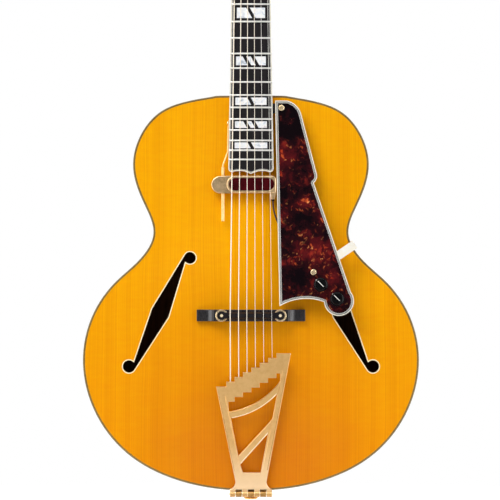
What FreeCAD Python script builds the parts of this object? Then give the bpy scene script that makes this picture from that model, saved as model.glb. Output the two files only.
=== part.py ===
import FreeCAD, Part
import math
import os
import Sketcher
from FreeCAD import Placement, Rotation, Vector

# Archtop guitar, upright: X to the treble side, Y to the back, Z up along the neck.
# The origin lies on the end pin's axis, at the tail edge of the body, half way through the ribs.

doc = FreeCAD.newDocument("archtop_guitar")

DIMENSIONS = {
    # body outline: widths across the body and how far above the tail each one lies
    "body_length": 508,
    "tail_width": 176, "tail_station": 11.6,
    "tail_corner_width": 304, "tail_corner_station": 42.3,
    "lower_flank_width": 393, "lower_flank_station": 93.6,
    "lower_bout_width": 432, "lower_bout_station": 168,
    "upper_flank_width": 406, "upper_flank_station": 227,
    "hip_width": 349, "hip_station": 268,
    "waist_corner_width": 283.4, "waist_corner_station": 298.7,
    "waist_width": 250.8, "waist_station": 329.5,
    "chest_width": 276, "chest_station": 370.5,
    "upper_bout_width": 303, "upper_bout_station": 422,
    "shoulder_width": 263, "shoulder_station": 473,
    "neck_corner_width": 208.8, "neck_corner_station": 493.6,
    "neck_flat_width": 100, "neck_flat_station": 506.6,
    # body depth and walls
    "body_depth": 76.2, "plate_thickness": 5, "top_arch": 18, "back_arch": 17,
    "rib_thickness": 2.5, "lining_width": 6, "lining_height": 14,
    "binding_outer_ply": 1.4, "binding_dark_ply": 0.7, "binding_inner_ply": 0.6,
    "neck_block_width": 76, "neck_block_length": 70, "tail_block_width": 90, "tail_block_length": 34,
    "tone_bar_width": 8, "tone_bar_height": 11, "tone_bar_spread_low": 92, "tone_bar_spread_high": 56,
    "tone_bar_start": 120, "tone_bar_end": 425,
    # f-holes, measured from the centre line and from the tail
    "eye_upper_across": 78.3, "eye_upper_station": 299.4, "eye_upper_radius": 7.5,
    "eye_lower_across": 156.7, "eye_lower_station": 159.8, "eye_lower_radius": 8,
    "f_outer_across": 127, "f_outer_station": 234, "f_inner_across": 106, "f_inner_station": 223.4,
    "f_notch_across": 6.6, "f_notch_drop": 5.8, "f_corner_radius": 6, "f_edge_ply": 1.3,
    # neck and fingerboard
    "scale_length": 635, "joint_fret": 14, "fret_count": 20, "neck_pitch": 3.6, "board_rise": 19,
    "nut_width": 43, "nut_length": 5, "nut_height": 8, "board_end_width": 58, "board_overhang": 16,
    "board_thickness": 6.4, "board_radius": 305, "board_corner_radius": 5,
    "board_wave": 1.4, "board_point": 2.6,
    "board_outer_ply": 1.4, "board_dark_ply": 0.4, "board_inner_ply": 0.6,
    "fret_width": 2.2, "fret_height": 1.1, "inlay_depth": 1.2, "inlay_edge_margin": 7.5,
    "inlay_slant": 0.57, "inlay_gap": 4.6, "inlay_pitch": 10.4, "inlay_fret_share": 0.2,
    "neck_depth_nut": 15.6, "neck_depth_heel": 18, "extension_thickness": 6, "extension_inset": 0.5,
    "heel_cap_thickness": 2.5, "heel_half_width": 15, "heel_reach": 17,
    "tenon_width": 26, "tenon_flare": 6, "tenon_length": 18, "tenon_depth": 52,
    "truss_rod_radius": 2.5, "truss_rod_cover_depth": 6, "truss_rod_reach": 330,
    # headstock
    "head_tilt": 14, "head_drop": 3.4, "head_thickness": 13.5, "overlay_thickness": 2,
    "head_length": 186, "head_top_width": 90, "head_crown": 12, "head_shoulder_width": 75,
    "head_shoulder_station": 46, "head_neck_width": 45, "head_neck_station": 8,
    "head_outer_ply": 1.6, "head_dark_ply": 0.6,
    "cover_width": 20, "cover_length": 40, "cover_thickness": 1.6, "cover_start": 4,
    # tuners
    "tuner_first": 44, "tuner_pitch": 39, "tuner_across": 25, "tuner_splay": 2.4,
    "post_radius": 3, "capstan_radius": 2.6, "post_height": 14, "hole_radius": 5,
    "bushing_flange_radius": 7, "bushing_flange_height": 2.4,
    "gear_radius": 5.2, "gear_height": 4, "gear_teeth": 14, "gear_clearance": 0.5,
    "worm_radius": 2, "worm_offset": 7.7,
    "housing_width": 16, "housing_height": 10.5, "housing_wall": 2.2,
    "button_length": 15, "button_width": 21, "button_thickness": 7, "button_gap": 9,
    # strings
    "saddle_pitch": 10.6, "nut_pitch": 7.4, "string_rise_nut": 1.5, "string_rise_saddle": 5.2,
    "string_clearance": 0.3, "ball_radius": 2, "ball_length": 3.4, "ball_set_back": 0.9,
    "winding_turns": 2.5, "winding_gap": 0.5, "winding_start": 5.2,
    # bridge
    "bridge_length": 139, "bridge_width": 15, "bridge_height": 9.5, "bridge_wing_height": 6.5,
    "stud_spacing": 75, "stud_radius": 1.9, "stud_socket": 5, "stud_top": 1.6,
    "wheel_radius": 7.8, "wheel_height": 3, "wheel_rise": 3, "wheel_notches": 24,
    "saddle_width": 9, "saddle_lobe_radius": 5.6, "saddle_lobe_height": 4.6,
    "running_fit": 0.1, "seat_fit": 0.05,
    # tailpiece, measured in its own plane from the hinge axis
    "hinge_rise": 5.6, "hinge_drop": 4, "hinge_width": 54.6, "hinge_radius": 3.8, "pin_radius": 1.25,
    "tailpiece_tilt": 8, "tailpiece_thickness": 4, "tailpiece_rounding": 0.8,
    "knuckle_gap": 0.4, "knuckle_clear": 2.5,
    "foot_width": 40.4, "foot_height": 17.7, "stair_left": -44.6, "stair_start": 140.2,
    "stair_first": -31.6, "stair_tread": 10.7, "stair_riser": 6.15, "stair_right": 51, "stair_band": 25.8,
    "string_slot": 2.2, "string_slot_floor": 1.1, "ball_pocket_radius": 2.6, "ball_inset": 11,
    "bracket_thickness": 2, "bracket_depth": 62,
    "tail_screw_radius": 1.6, "tail_screw_length": 18, "tail_screw_head": 3.4,
    "jack_barrel_radius": 6, "jack_bore_radius": 3.25, "jack_length": 44, "jack_flange_radius": 9.5,
    "jack_groove_radius": 7, "jack_head": 11,
    # pickguard, measured in its own plane from the neck joint
    "guard_set_back": 1, "guard_thickness": 2.6,
    "guard_outer_ply": 1.3, "guard_dark_ply": 0.6, "guard_inner_ply": 1.5,
    "guard_inner_top": 31, "guard_inner_low": 36.4, "guard_top": 501, "guard_low": 237.6,
    "guard_lobe_across": 111, "guard_lobe_station": 242.4, "guard_lobe_radius": 17.8,
    "guard_screw_upper_across": 39, "guard_screw_upper_station": 491.6,
    "guard_screw_lower_across": 79.9, "guard_screw_lower_station": 281.2,
    "guard_screw_radius": 3.8, "guard_shank_radius": 1.5,
    "guard_bracket_width": 11.2, "guard_bracket_thickness": 2, "guard_bracket_slope": 34,
    "guard_bracket_end": 14,
    "volume_across": 89.2, "volume_station": 265.2, "tone_across": 110, "tone_station": 247,
    "knob_radius": 9, "knob_height": 13, "knob_gap": 0.8, "shaft_radius": 3, "collar_radius": 4.6,
    "pot_radius": 8.4, "pot_height": 8,
    # pickup
    "pickup_left": -50.6, "pickup_right": 32, "pickup_depth": 22, "pickup_station": 393.6,
    "pickup_base_height": 6, "pickup_height": 10.4, "pickup_case_left": -31,
    "coil_left": -27.6, "coil_right": 29.6, "coil_depth": 15.6, "coil_sink": 5, "coil_show": 0.6,
    "lobe_left": 24.4, "lobe_right": 32, "lobe_drop": 8,
    "rod_radius": 2.1, "rod_across": -35.8, "rod_low": 347, "rod_high": 416,
    "stem_radius": 1.2, "stem_high": 470, "stem_bend": 428, "tab_thickness": 1.8, "lead_radius": 1.1,
}

dim = doc.addObject("Spreadsheet::Sheet", "dim")
for row, (alias, amount) in enumerate(DIMENSIONS.items(), start=1):
    dim.set(f"A{row}", alias)
    dim.set(f"B{row}", str(amount))
    dim.setAlias(f"B{row}", alias)
doc.recompute()

RIM = dim.body_depth / 2
INSIDE = RIM - dim.plate_thickness
BINDING = dim.binding_outer_ply + dim.binding_dark_ply + dim.binding_inner_ply
FAR = 400
TO_FRONT = Rotation(Vector(1, 0, 0), 90)

pieces = []


def value(expression):
    return float(dim.evalExpression(expression))


def keep(label, shape, placement=None):
    """A sub-part whose shape is made from the sheet's values."""
    feature = doc.addObject("Part::Feature", label)
    feature.Label = label
    feature.Shape = shape
    if placement is not None:
        feature.Placement = placement
    pieces.append(feature)
    return feature


def new_body(label, placement=None, listed=True):
    body = doc.addObject("PartDesign::Body", label)
    body.Label = label
    if placement is not None:
        body.Placement = placement
    if listed:
        pieces.append(body)
    return body


def new_sketch(body, name, role="XZ_Plane", offset=None):
    plane = next(item for item in body.Origin.OriginFeatures if item.Role == role)
    sketch = body.newObject("Sketcher::SketchObject", name)
    sketch.AttachmentSupport = (plane, [""])
    sketch.MapMode = "FlatFace"
    if offset is not None:
        sketch.setExpression("AttachmentOffset.Base.z", offset)
    return sketch


def bind(sketch, kind, *where_and_expression):
    *where, expression = where_and_expression
    index = sketch.addConstraint(Sketcher.Constraint(kind, *where, value(expression)))
    sketch.setExpression(f"Constraints[{index}]", expression)


def draw_outline(sketch, corners):
    """Closed outline. A corner is a pair of expressions; a third item is the point that an arc
    from this corner to the next one goes through."""
    places = [Vector(value(corner[0]), value(corner[1]), 0) for corner in corners]
    ends = []
    for index, corner in enumerate(corners):
        start = places[index]
        stop = places[(index + 1) % len(places)]
        leftward = True
        if len(corner) == 3:
            through = Vector(value(corner[2][0]), value(corner[2][1]), 0)
            leftward = (through - start).cross(stop - through).z > 0
            curve = Part.Arc(start, through, stop) if leftward else Part.Arc(stop, through, start)
        else:
            curve = Part.LineSegment(start, stop)
        sketch.addGeometry(curve, False)
        ends.append((1, 2) if leftward else (2, 1))
    for index in range(len(corners)):
        following = (index + 1) % len(corners)
        sketch.addConstraint(
            Sketcher.Constraint("Coincident", index, ends[index][1], following, ends[following][0]))
    for index, corner in enumerate(corners):
        bind(sketch, "DistanceX", -1, 1, index, ends[index][0], corner[0])
        bind(sketch, "DistanceY", -1, 1, index, ends[index][0], corner[1])
        if len(corner) == 3:
            through = Vector(value(corner[2][0]), value(corner[2][1]), 0)
            mark = sketch.addGeometry(Part.Point(through), True)
            sketch.addConstraint(Sketcher.Constraint("PointOnObject", mark, 1, index))
            bind(sketch, "DistanceX", -1, 1, mark, 1, corner[2][0])
            bind(sketch, "DistanceY", -1, 1, mark, 1, corner[2][1])


def draw_circle(sketch, across, up, radius):
    centre = Vector(value(across), value(up), 0)
    number = sketch.addGeometry(Part.Circle(centre, Vector(0, 0, 1), value(radius)), False)
    bind(sketch, "DistanceX", -1, 1, number, 3, across)
    bind(sketch, "DistanceY", -1, 1, number, 3, up)
    bind(sketch, "Radius", number, radius)


def pad(body, sketch, length, backward=False):
    feature = body.newObject("PartDesign::Pad", f"{sketch.Name}_pad")
    feature.Profile = sketch
    feature.setExpression("Length", length)
    feature.Reversed = backward
    doc.recompute()
    return feature


def pocket(body, sketch, length, backward=False):
    before = body.Shape.Volume
    feature = body.newObject("PartDesign::Pocket", f"{sketch.Name}_pocket")
    feature.Profile = sketch
    feature.setExpression("Length", length)
    feature.Reversed = backward
    doc.recompute()
    if body.Shape.Volume > before - 0.01:
        raise RuntimeError(f"{feature.Name} removes nothing")
    return feature


def turn(body, name, profile):
    """A turned solid about the body's own Z: the profile lists radius and height."""
    sketch = new_sketch(body, name)
    draw_outline(sketch, profile)
    feature = body.newObject("PartDesign::Revolution", f"{name}_turned")
    feature.Profile = sketch
    feature.ReferenceAxis = (sketch, ["V_Axis"])
    feature.Angle = 360
    doc.recompute()
    return feature


def around(body, feature, count):
    """Repeats a feature evenly about the body's own Z."""
    pattern = body.newObject("PartDesign::PolarPattern", f"{feature.Name}_ring")
    pattern.Originals = [feature]
    axis = next(item for item in body.Origin.OriginFeatures if item.Role == "Z_Axis")
    pattern.Axis = (axis, [""])
    pattern.Angle = 360
    pattern.setExpression("Occurrences", count)
    body.Tip = pattern
    doc.recompute()
    return pattern


def group(shapes):
    solids = []
    for shape in shapes:
        solids.extend(shape.Solids)
    return Part.makeCompound(solids)


def mirrored(shape):
    return shape.mirror(Vector(0, 0, 0), Vector(1, 0, 0))


def joined(first, *others):
    result = first
    for other in others:
        result = result.fuse(other)
    return result.removeSplitter()


def block(left, right, front, back, low, high):
    return Part.makeBox(right - left, back - front, high - low, Vector(left, front, low))


def closed_face(edges):
    return Part.Face(Part.Wire(Part.__sortEdges__(edges)))


def line(start, stop):
    return Part.LineSegment(start, stop).toShape()


def arc(start, through, stop):
    return Part.Arc(start, through, stop).toShape()


def placed(shape, placement):
    copy = shape.copy()
    copy.Placement = placement.multiply(copy.Placement)
    return copy


def flat(points):
    return Part.Face(Part.makePolygon(points + points[:1]))


# Body

OUTLINE_MARKS = [
    (getattr(dim, f"{name}_width") / 2, getattr(dim, f"{name}_station"))
    for name in ("tail", "tail_corner", "lower_flank", "lower_bout", "upper_flank", "hip",
                 "waist_corner", "waist", "chest", "upper_bout", "shoulder", "neck_corner", "neck_flat")
]


def spline(points):
    curve = Part.BSplineCurve()
    curve.interpolate(Points=points, InitialTangent=Vector(1, 0, 0), FinalTangent=Vector(-1, 0, 0))
    return curve


def treble_curve(inset):
    """The treble half of the outline, tail to neck, moved in along its own normal."""
    marks = [Vector(0, 0, 0)] + [Vector(half, 0, up) for half, up in OUTLINE_MARKS]
    marks.append(Vector(0, 0, dim.body_length))
    curve = spline(marks)
    if inset == 0:
        return curve
    moved = []
    for mark in marks:
        tangent = curve.tangent(curve.parameter(mark))[0]
        moved.append(mark + Vector(-tangent.z, 0, tangent.x) * inset)
    return spline(moved)


def body_prism(inset, front, back):
    treble = treble_curve(inset).toShape()
    bass = mirrored(treble)
    face = closed_face([treble, bass])
    face.translate(Vector(0, front, 0))
    return face.extrude(Vector(0, back - front, 0))


HALF_WIDTHS = [point for point in treble_curve(0).discretize(Number=300)]


def half_width(station):
    for low, high in zip(HALF_WIDTHS, HALF_WIDTHS[1:]):
        if low.z <= station < high.z:
            share = (station - low.z) / (high.z - low.z)
            return low.x + share * (high.x - low.x)
    return 0.01


def arch_share(across, station):
    """How much of the full arch stands at a place: level at the edge, fullest near the bridge."""
    along = station / dim.body_length
    if along <= 0 or along >= 1:
        return 0
    reach = abs(across) / half_width(station)
    if reach >= 1:
        return 0
    lengthwise = ((1 - math.cos(2 * math.pi * along)) / 2) ** 0.6
    crosswise = (1 + math.cos(math.pi * reach)) / 2
    return lengthwise * crosswise


def arch_face(rise, level, outward):
    margin = 8
    columns = 27
    rows = 39
    width = dim.lower_bout_width + 2 * margin
    length = dim.body_length + 2 * margin
    grid = []
    for row in range(rows):
        station = -margin + length * row / (rows - 1)
        stations = []
        for column in range(columns):
            across = -width / 2 + width * column / (columns - 1)
            stations.append(Vector(across, level + outward * rise * arch_share(across, station), station))
        grid.append(stations)
    surface = Part.BSplineSurface()
    surface.interpolate(grid)
    return surface.toShape()


def tangent_place(corner, centre, radius):
    toward = corner - centre
    angle = math.acos(radius / toward.Length)
    toward.normalize()
    turned = Vector(toward.x * math.cos(angle) - toward.z * math.sin(angle), 0,
                    toward.x * math.sin(angle) + toward.z * math.cos(angle))
    return centre + turned * radius


def f_hole_prism(grow):
    """Treble f-hole: two round eyes joined by a straight-sided, bent slot."""
    upper = Vector(dim.eye_upper_across, 0, dim.eye_upper_station)
    lower = Vector(dim.eye_lower_across, 0, dim.eye_lower_station)
    outer = Vector(dim.f_outer_across, 0, dim.f_outer_station)
    inner = Vector(dim.f_inner_across, 0, dim.f_inner_station)
    notch = Vector(dim.f_notch_across, 0, -dim.f_notch_drop)
    slot = flat([
        tangent_place(outer, upper, dim.eye_upper_radius), outer, lower - notch, lower,
        tangent_place(inner, lower, dim.eye_lower_radius), inner, upper + notch, upper])
    eyes = []
    for centre, radius in ((upper, dim.eye_upper_radius), (lower, dim.eye_lower_radius)):
        eyes.append(closed_face([Part.makeCircle(radius, centre, Vector(0, 1, 0))]))
    solid = joined(*[face.extrude(Vector(0, 1, 0)) for face in [slot] + eyes])
    bends = [edge for edge in solid.Edges
             if abs(edge.Vertexes[0].Y - edge.Vertexes[-1].Y) > 0.5
             and min((Vector(edge.Vertexes[0].X, 0, edge.Vertexes[0].Z) - bend).Length
                     for bend in (outer, inner)) < 0.1]
    solid = solid.makeFillet(dim.f_corner_radius, bends)
    holes = [face for face in solid.Faces if abs(face.CenterOfMass.y) < 1e-6]
    if len(holes) != 1:
        raise RuntimeError("the f-hole is not one opening")
    hole = holes[0]
    if grow:
        hole = Part.Face(hole.OuterWire.makeOffset2D(grow))
    hole.translate(Vector(0, -FAR / 2, 0))
    return hole.extrude(Vector(0, FAR / 2, 0))


def bar_plan(spread):
    """Plan of the tone bar on the treble side."""
    half = dim.tone_bar_width / 2
    low = dim.tone_bar_spread_low / 2
    high = dim.tone_bar_spread_high / 2
    plan = flat([Vector(low - half, -FAR / 2, dim.tone_bar_start),
                 Vector(low + half, -FAR / 2, dim.tone_bar_start),
                 Vector(high + half, -FAR / 2, dim.tone_bar_end),
                 Vector(high - half, -FAR / 2, dim.tone_bar_end)])
    return plan.extrude(Vector(0, spread, 0))


def make_body():
    plate_area = body_prism(BINDING, -FAR / 2, FAR / 2)
    top_slab = arch_face(dim.top_arch, -RIM, -1).extrude(Vector(0, dim.plate_thickness, 0))
    back_slab = arch_face(dim.back_arch, RIM, 1).extrude(Vector(0, -dim.plate_thickness, 0))
    opening = f_hole_prism(dim.f_edge_ply)
    lining_hole = f_hole_prism(0)
    openings = [opening, mirrored(opening)]
    edge_lines = [top_slab.common(hole.cut(core))
                  for hole, core in zip(openings, (lining_hole, mirrored(lining_hole)))]
    top = plate_area.common(top_slab)
    for hole in openings:
        top = top.cut(hole)
    keep("top_plate", top)
    keep("back_plate", plate_area.common(back_slab))
    keep("f_hole_bindings", group(edge_lines))

    plies = []
    edges = [0, dim.binding_outer_ply, dim.binding_outer_ply + dim.binding_dark_ply, BINDING]
    for outer, inner in zip(edges, edges[1:]):
        for front in (-RIM, RIM - dim.plate_thickness):
            back = front + dim.plate_thickness
            plies.append(body_prism(outer, front, back).cut(body_prism(inner, front - 1, back + 1)))
    keep("body_binding", group(plies))

    tenon = tenon_shape(dim.seat_fit)
    jack_hole = Part.makeCylinder(dim.jack_barrel_radius + dim.seat_fit, FAR / 4, Vector(0, 0, -FAR / 8))
    ring = body_prism(0, -INSIDE, INSIDE).cut(body_prism(dim.rib_thickness, -FAR / 2, FAR / 2))
    ring = ring.cut(tenon).cut(jack_hole)
    ring = ring.cut(bracket_screw_shapes(dim.seat_fit)).cut(foot_screw_shape(dim.seat_fit))
    keep("rib_bass", ring.common(block(-FAR, 0, -FAR, FAR, -FAR, 2 * FAR)))
    keep("rib_treble", ring.common(block(0, FAR, -FAR, FAR, -FAR, 2 * FAR)))

    inner_space = body_prism(dim.rib_thickness, -INSIDE, INSIDE)
    half = dim.neck_block_width / 2
    neck_area = block(-half, half, -FAR, FAR, dim.body_length - dim.neck_block_length, 2 * FAR)
    half = dim.tail_block_width / 2
    tail_area = block(-half, half, -FAR, FAR, -FAR, dim.tail_block_length)
    keep("neck_block", inner_space.common(neck_area).cut(tenon))
    keep("tail_block", inner_space.common(tail_area).cut(jack_hole).cut(bracket_screw_shapes(dim.seat_fit)))

    lining_core = body_prism(dim.rib_thickness + dim.lining_width, -FAR / 2, FAR / 2)
    linings = []
    for front in (-INSIDE, INSIDE - dim.lining_height):
        strip = body_prism(dim.rib_thickness, front, front + dim.lining_height)
        linings.append(strip.cut(lining_core).cut(neck_area).cut(tail_area))
    keep("linings", group(linings))

    under = arch_face(dim.top_arch, -INSIDE, -1).extrude(Vector(0, dim.tone_bar_height, 0))
    bar = bar_plan(FAR).common(under)
    keep("tone_bars", group([bar, mirrored(bar)]))


# Neck: its own frame has Z along the strings and its origin on the board's face at the nut

SLOPE = math.radians(dim.neck_pitch)


def fret_place(number):
    return dim.scale_length * (1 - 2 ** (-number / 12))


JOINT = fret_place(dim.joint_fret)
BOARD_LENGTH = fret_place(dim.fret_count) + dim.board_overhang
NECK = Placement(
    Vector(0, -RIM - dim.board_rise + JOINT * math.sin(SLOPE), dim.body_length + JOINT * math.cos(SLOPE)),
    Rotation(Vector(1, 0, 0), -dim.neck_pitch))
HEAD = NECK.multiply(
    Placement(Vector(0, dim.head_drop, dim.nut_length), Rotation(Vector(1, 0, 0), -dim.head_tilt)))
BOARD_PLIES = dim.board_outer_ply + dim.board_dark_ply + dim.board_inner_ply
HEAD_PLIES = dim.head_outer_ply + dim.head_dark_ply
HEAD_DEPTH = dim.overlay_thickness + dim.head_thickness


def board_half_width(distance):
    taper = (dim.board_end_width - dim.nut_width) / BOARD_LENGTH
    return (dim.nut_width + taper * distance) / 2


def camber():
    """Round bar whose front is the cambered face of the board."""
    length = BOARD_LENGTH + 60
    return Part.makeCylinder(dim.board_radius, length, Vector(0, dim.board_radius, 20 - length))


def board_outline(inset):
    """Board seen from the front: tapered, with round corners and a shallow pointed wave at its end."""
    start = 10
    end = -BOARD_LENGTH
    top_half = board_half_width(-start)
    end_half = board_half_width(BOARD_LENGTH)
    round_off = dim.board_corner_radius
    lean = round_off * (1 - math.sqrt(0.5))
    side = Vector(end_half, 0, end + round_off)
    corner = Vector(end_half - lean, 0, end + lean)
    foot = Vector(end_half - round_off, 0, end)
    wave = Vector((end_half - round_off) / 2, 0, end + dim.board_wave)
    tip = Vector(0, 0, end - dim.board_point)
    half = [line(Vector(top_half, 0, start), side), arc(side, corner, foot), arc(foot, wave, tip)]
    edges = half + [mirrored(edge) for edge in half]
    edges.append(line(Vector(top_half, 0, start), Vector(-top_half, 0, start)))
    face = closed_face(edges)
    if inset:
        face = Part.Face(face.OuterWire.makeOffset2D(-inset))
    return face


def board_layer(inset, front=-5):
    """Column under the board's outline, between its camber and its underside, below the nut."""
    face = board_outline(inset)
    face.translate(Vector(0, front, 0))
    column = face.extrude(Vector(0, dim.board_thickness - front, 0))
    return column.cut(block(-FAR, FAR, -FAR, FAR, 0, FAR)).common(camber())


def inlay_shapes():
    """Pearl blocks in the spaces before the marker frets, split by one or two slanted gaps."""
    below = Part.makeCylinder(dim.board_radius - dim.inlay_depth, BOARD_LENGTH + 40,
                              Vector(0, dim.board_radius, -BOARD_LENGTH - 20))
    skin = camber().cut(below)
    shapes = []
    for order, fret in enumerate((1, 3, 5, 7, 9, 12, 15, 17, 19)):
        upper = -fret_place(fret - 1)
        lower = -fret_place(fret)
        margin = (upper - lower) * dim.inlay_fret_share
        high = upper - margin
        low = lower + margin
        middle = (high + low) / 2
        half = board_half_width(-middle) - dim.inlay_edge_margin
        blank = block(-half, half, -10, 10, low, high)
        splits = (0,) if order % 2 == 0 else (-dim.inlay_pitch / 2, dim.inlay_pitch / 2)
        for split in splits:
            lean = dim.inlay_slant * (high - low)
            gap = dim.inlay_gap / 2
            knife = flat([Vector(split - lean - gap, -20, high + (high - low) / 2),
                          Vector(split - lean + gap, -20, high + (high - low) / 2),
                          Vector(split + lean + gap, -20, low - (high - low) / 2),
                          Vector(split + lean - gap, -20, low - (high - low) / 2)])
            blank = blank.cut(knife.extrude(Vector(0, 40, 0)))
        shapes.append(blank.common(skin))
    return group(shapes)


def fret_shapes():
    """Fret wires with a rounded crown, bent to the camber, ending flush with the board's sides."""
    frets = []
    for number in range(1, int(dim.fret_count) + 1):
        distance = fret_place(number)
        half = dim.fret_width / 2
        foot_low = Vector(0, 0, -distance - half)
        foot_high = Vector(0, 0, -distance + half)
        crown = Vector(0, -dim.fret_height, -distance)
        profile = closed_face([arc(foot_low, crown, foot_high), line(foot_high, foot_low)])
        reach = math.degrees(math.asin((board_half_width(distance) - 0.2) / dim.board_radius))
        centre = Vector(0, dim.board_radius, 0)
        profile.rotate(centre, Vector(0, 0, 1), -reach)
        frets.append(profile.revolve(centre, Vector(0, 0, 1), 2 * reach))
    return group(frets)


def tenon_shape(clearance):
    """Dovetail that locks the heel into the neck block."""
    half = dim.tenon_width / 2 + clearance
    flare = half + dim.tenon_flare
    low = dim.body_length - dim.tenon_length - clearance
    high = dim.body_length + 3
    start = -INSIDE
    plan = flat([Vector(-half, start, high), Vector(half, start, high),
                 Vector(flare, start, low), Vector(-flare, start, low)])
    return plan.extrude(Vector(0, dim.tenon_depth + clearance, 0))


def shaft_section(distance, depth):
    half = board_half_width(distance)
    level = dim.board_thickness
    left = Vector(-half, level, -distance)
    right = Vector(half, level, -distance)
    return Part.Wire([line(left, right), arc(right, Vector(0, level + depth, -distance), left)])


def heel_section(level, half, reach):
    base = dim.body_length - 12
    crown = dim.body_length + reach
    side = crown - half * 0.8
    left_low = Vector(-half, level, base)
    right_low = Vector(half, level, base)
    left_high = Vector(-half, level, side)
    right_high = Vector(half, level, side)
    return Part.Wire([line(left_low, right_low), line(right_low, right_high),
                      arc(right_high, Vector(0, level, crown), left_high), line(left_high, left_low)])


def head_outline(inset, start):
    """Headstock seen from its front, in the head's own plane."""
    bottom = -20
    neck_half = dim.head_neck_width / 2
    top_half = dim.head_top_width / 2
    corner = Vector(top_half, 0, dim.head_length - dim.head_crown)
    throat = Vector(neck_half, 0, dim.head_neck_station)
    shoulder = Vector(dim.head_shoulder_width / 2, 0, dim.head_shoulder_station)
    step = (shoulder - throat) * 0.5
    bend = step.dot(step) / (2 * step.x)
    angle = math.atan2(step.x, step.z)
    sweep = Vector(bend * (1 - math.cos(angle)), 0, bend * math.sin(angle))
    half = [line(Vector(neck_half, 0, bottom), throat), arc(throat, throat + sweep, throat + step),
            arc(throat + step, shoulder - sweep, shoulder), line(shoulder, corner)]
    edges = half + [mirrored(edge) for edge in half]
    edges.append(line(Vector(-neck_half, 0, bottom), Vector(neck_half, 0, bottom)))
    edges.append(arc(corner, Vector(0, 0, dim.head_length), Vector(-top_half, 0, corner.z)))
    face = closed_face(edges)
    if inset:
        face = Part.Face(face.OuterWire.makeOffset2D(-inset))
    solid = face.extrude(Vector(0, 1, 0))
    trimmed = solid.cut(block(-FAR, FAR, -FAR, FAR, -FAR, start))
    front = [item for item in trimmed.Faces if abs(item.CenterOfMass.y) < 1e-6][0]
    return front


def head_layer(inset, start, front, back):
    face = head_outline(inset, start)
    face.translate(Vector(0, front, 0))
    return face.extrude(Vector(0, back - front, 0))


def tuner_places():
    """Post places on the headstock, bass side first, each from the nut upward."""
    places = []
    for side in (-1, 1):
        for step in range(3):
            across = side * (dim.tuner_across + dim.tuner_splay * step)
            places.append((side, Vector(across, 0, dim.tuner_first + dim.tuner_pitch * step)))
    return places


def heel_cap_shape():
    cap = Part.Face(heel_section(RIM - dim.heel_cap_thickness, dim.heel_half_width, dim.heel_reach))
    cap = cap.extrude(Vector(0, dim.heel_cap_thickness, 0))
    return cap.cut(body_prism(0, -FAR, FAR))


def make_neck():
    shaft = Part.makeLoft([shaft_section(-14, dim.neck_depth_nut),
                           shaft_section(JOINT - 20, dim.neck_depth_heel)], True)
    extension = board_outline(dim.extension_inset)
    extension.translate(Vector(0, dim.board_thickness, 0))
    extension = extension.extrude(Vector(0, dim.extension_thickness, 0))
    extension = extension.cut(block(-FAR, FAR, -FAR, FAR, 25 - JOINT, FAR))
    head = placed(head_layer(0, -20, dim.overlay_thickness, HEAD_DEPTH),
                  NECK.inverse().multiply(HEAD))
    board_room = block(-FAR, FAR, -FAR, dim.board_thickness, -FAR, dim.nut_length)
    wood = placed(joined(shaft, extension, head.cut(board_room)), NECK)

    joint_back = RIM - dim.heel_cap_thickness
    front_level = -INSIDE + 2
    heel = Part.makeLoft([
        heel_section(front_level, board_half_width(JOINT) - 1.5, 64),
        heel_section(front_level * 0.5, board_half_width(JOINT) - 4, 34),
        heel_section(4, dim.heel_half_width + 5, 22),
        heel_section(joint_back, dim.heel_half_width, dim.heel_reach)], True)
    front_half = board_half_width(JOINT) - 1.5
    level_front = -RIM - dim.board_rise + dim.board_thickness + dim.extension_thickness - 1
    cheek = Part.Face(heel_section(front_level, front_half, 64))
    cheek = cheek.extrude(Vector(0, level_front - front_level, 0))
    heel = joined(heel, cheek).cut(body_prism(0, -RIM, FAR))
    above_plate = block(-FAR, FAR, -RIM - 2, FAR, -FAR, dim.body_length - 0.5)
    heel = heel.cut(above_plate.common(body_prism(0, -FAR, FAR)))
    wood = joined(wood, heel, tenon_shape(0).common(body_prism(-1, -FAR, FAR)))
    overlay_room = block(-FAR, FAR, -FAR, dim.overlay_thickness, 0, FAR)
    wood = wood.cut(placed(overlay_room, HEAD))

    for side, place in tuner_places():
        hole = Part.makeCylinder(dim.hole_radius + dim.seat_fit, HEAD_DEPTH + 4,
                                 Vector(place.x, -2, place.z), Vector(0, 1, 0))
        wood = wood.cut(placed(hole, HEAD))
    level = dim.board_thickness + dim.truss_rod_cover_depth
    bore = Part.makeCylinder(dim.truss_rod_radius + dim.seat_fit, dim.truss_rod_reach + 14,
                             Vector(0, level, -dim.truss_rod_reach))
    access = block(-4, 4, dim.overlay_thickness - 1, level + 4, 4, 34)
    wood = wood.cut(placed(bore, NECK)).cut(placed(access, HEAD))
    wood = wood.cut(placed(head_screw_shapes(dim.seat_fit), HEAD))
    wood = wood.cut(rod_screw_shape(dim.seat_fit)).cut(guard_screw_shapes(dim.seat_fit))
    keep("neck", wood)
    keep("heel_cap", heel_cap_shape())

    rod = doc.addObject("Part::Cylinder", "truss_rod")
    rod.Label = "truss_rod"
    rod.setExpression("Radius", "dim.truss_rod_radius")
    rod.setExpression("Height", "dim.truss_rod_reach + 10")
    rod.Placement = NECK.multiply(Placement(Vector(0, level, -dim.truss_rod_reach), Rotation()))
    pieces.append(rod)


def make_fingerboard():
    inlays = inlay_shapes()
    core = board_layer(BOARD_PLIES).cut(inlays)
    keep("fingerboard", core, NECK)
    keep("position_inlays", inlays, NECK)
    edges = [0, dim.board_outer_ply, dim.board_outer_ply + dim.board_dark_ply, BOARD_PLIES]
    plies = [board_layer(outer).cut(board_layer(inner, -8)) for outer, inner in zip(edges, edges[1:])]
    keep("fingerboard_binding", group(plies), NECK)
    keep("frets", fret_shapes(), NECK)


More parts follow.
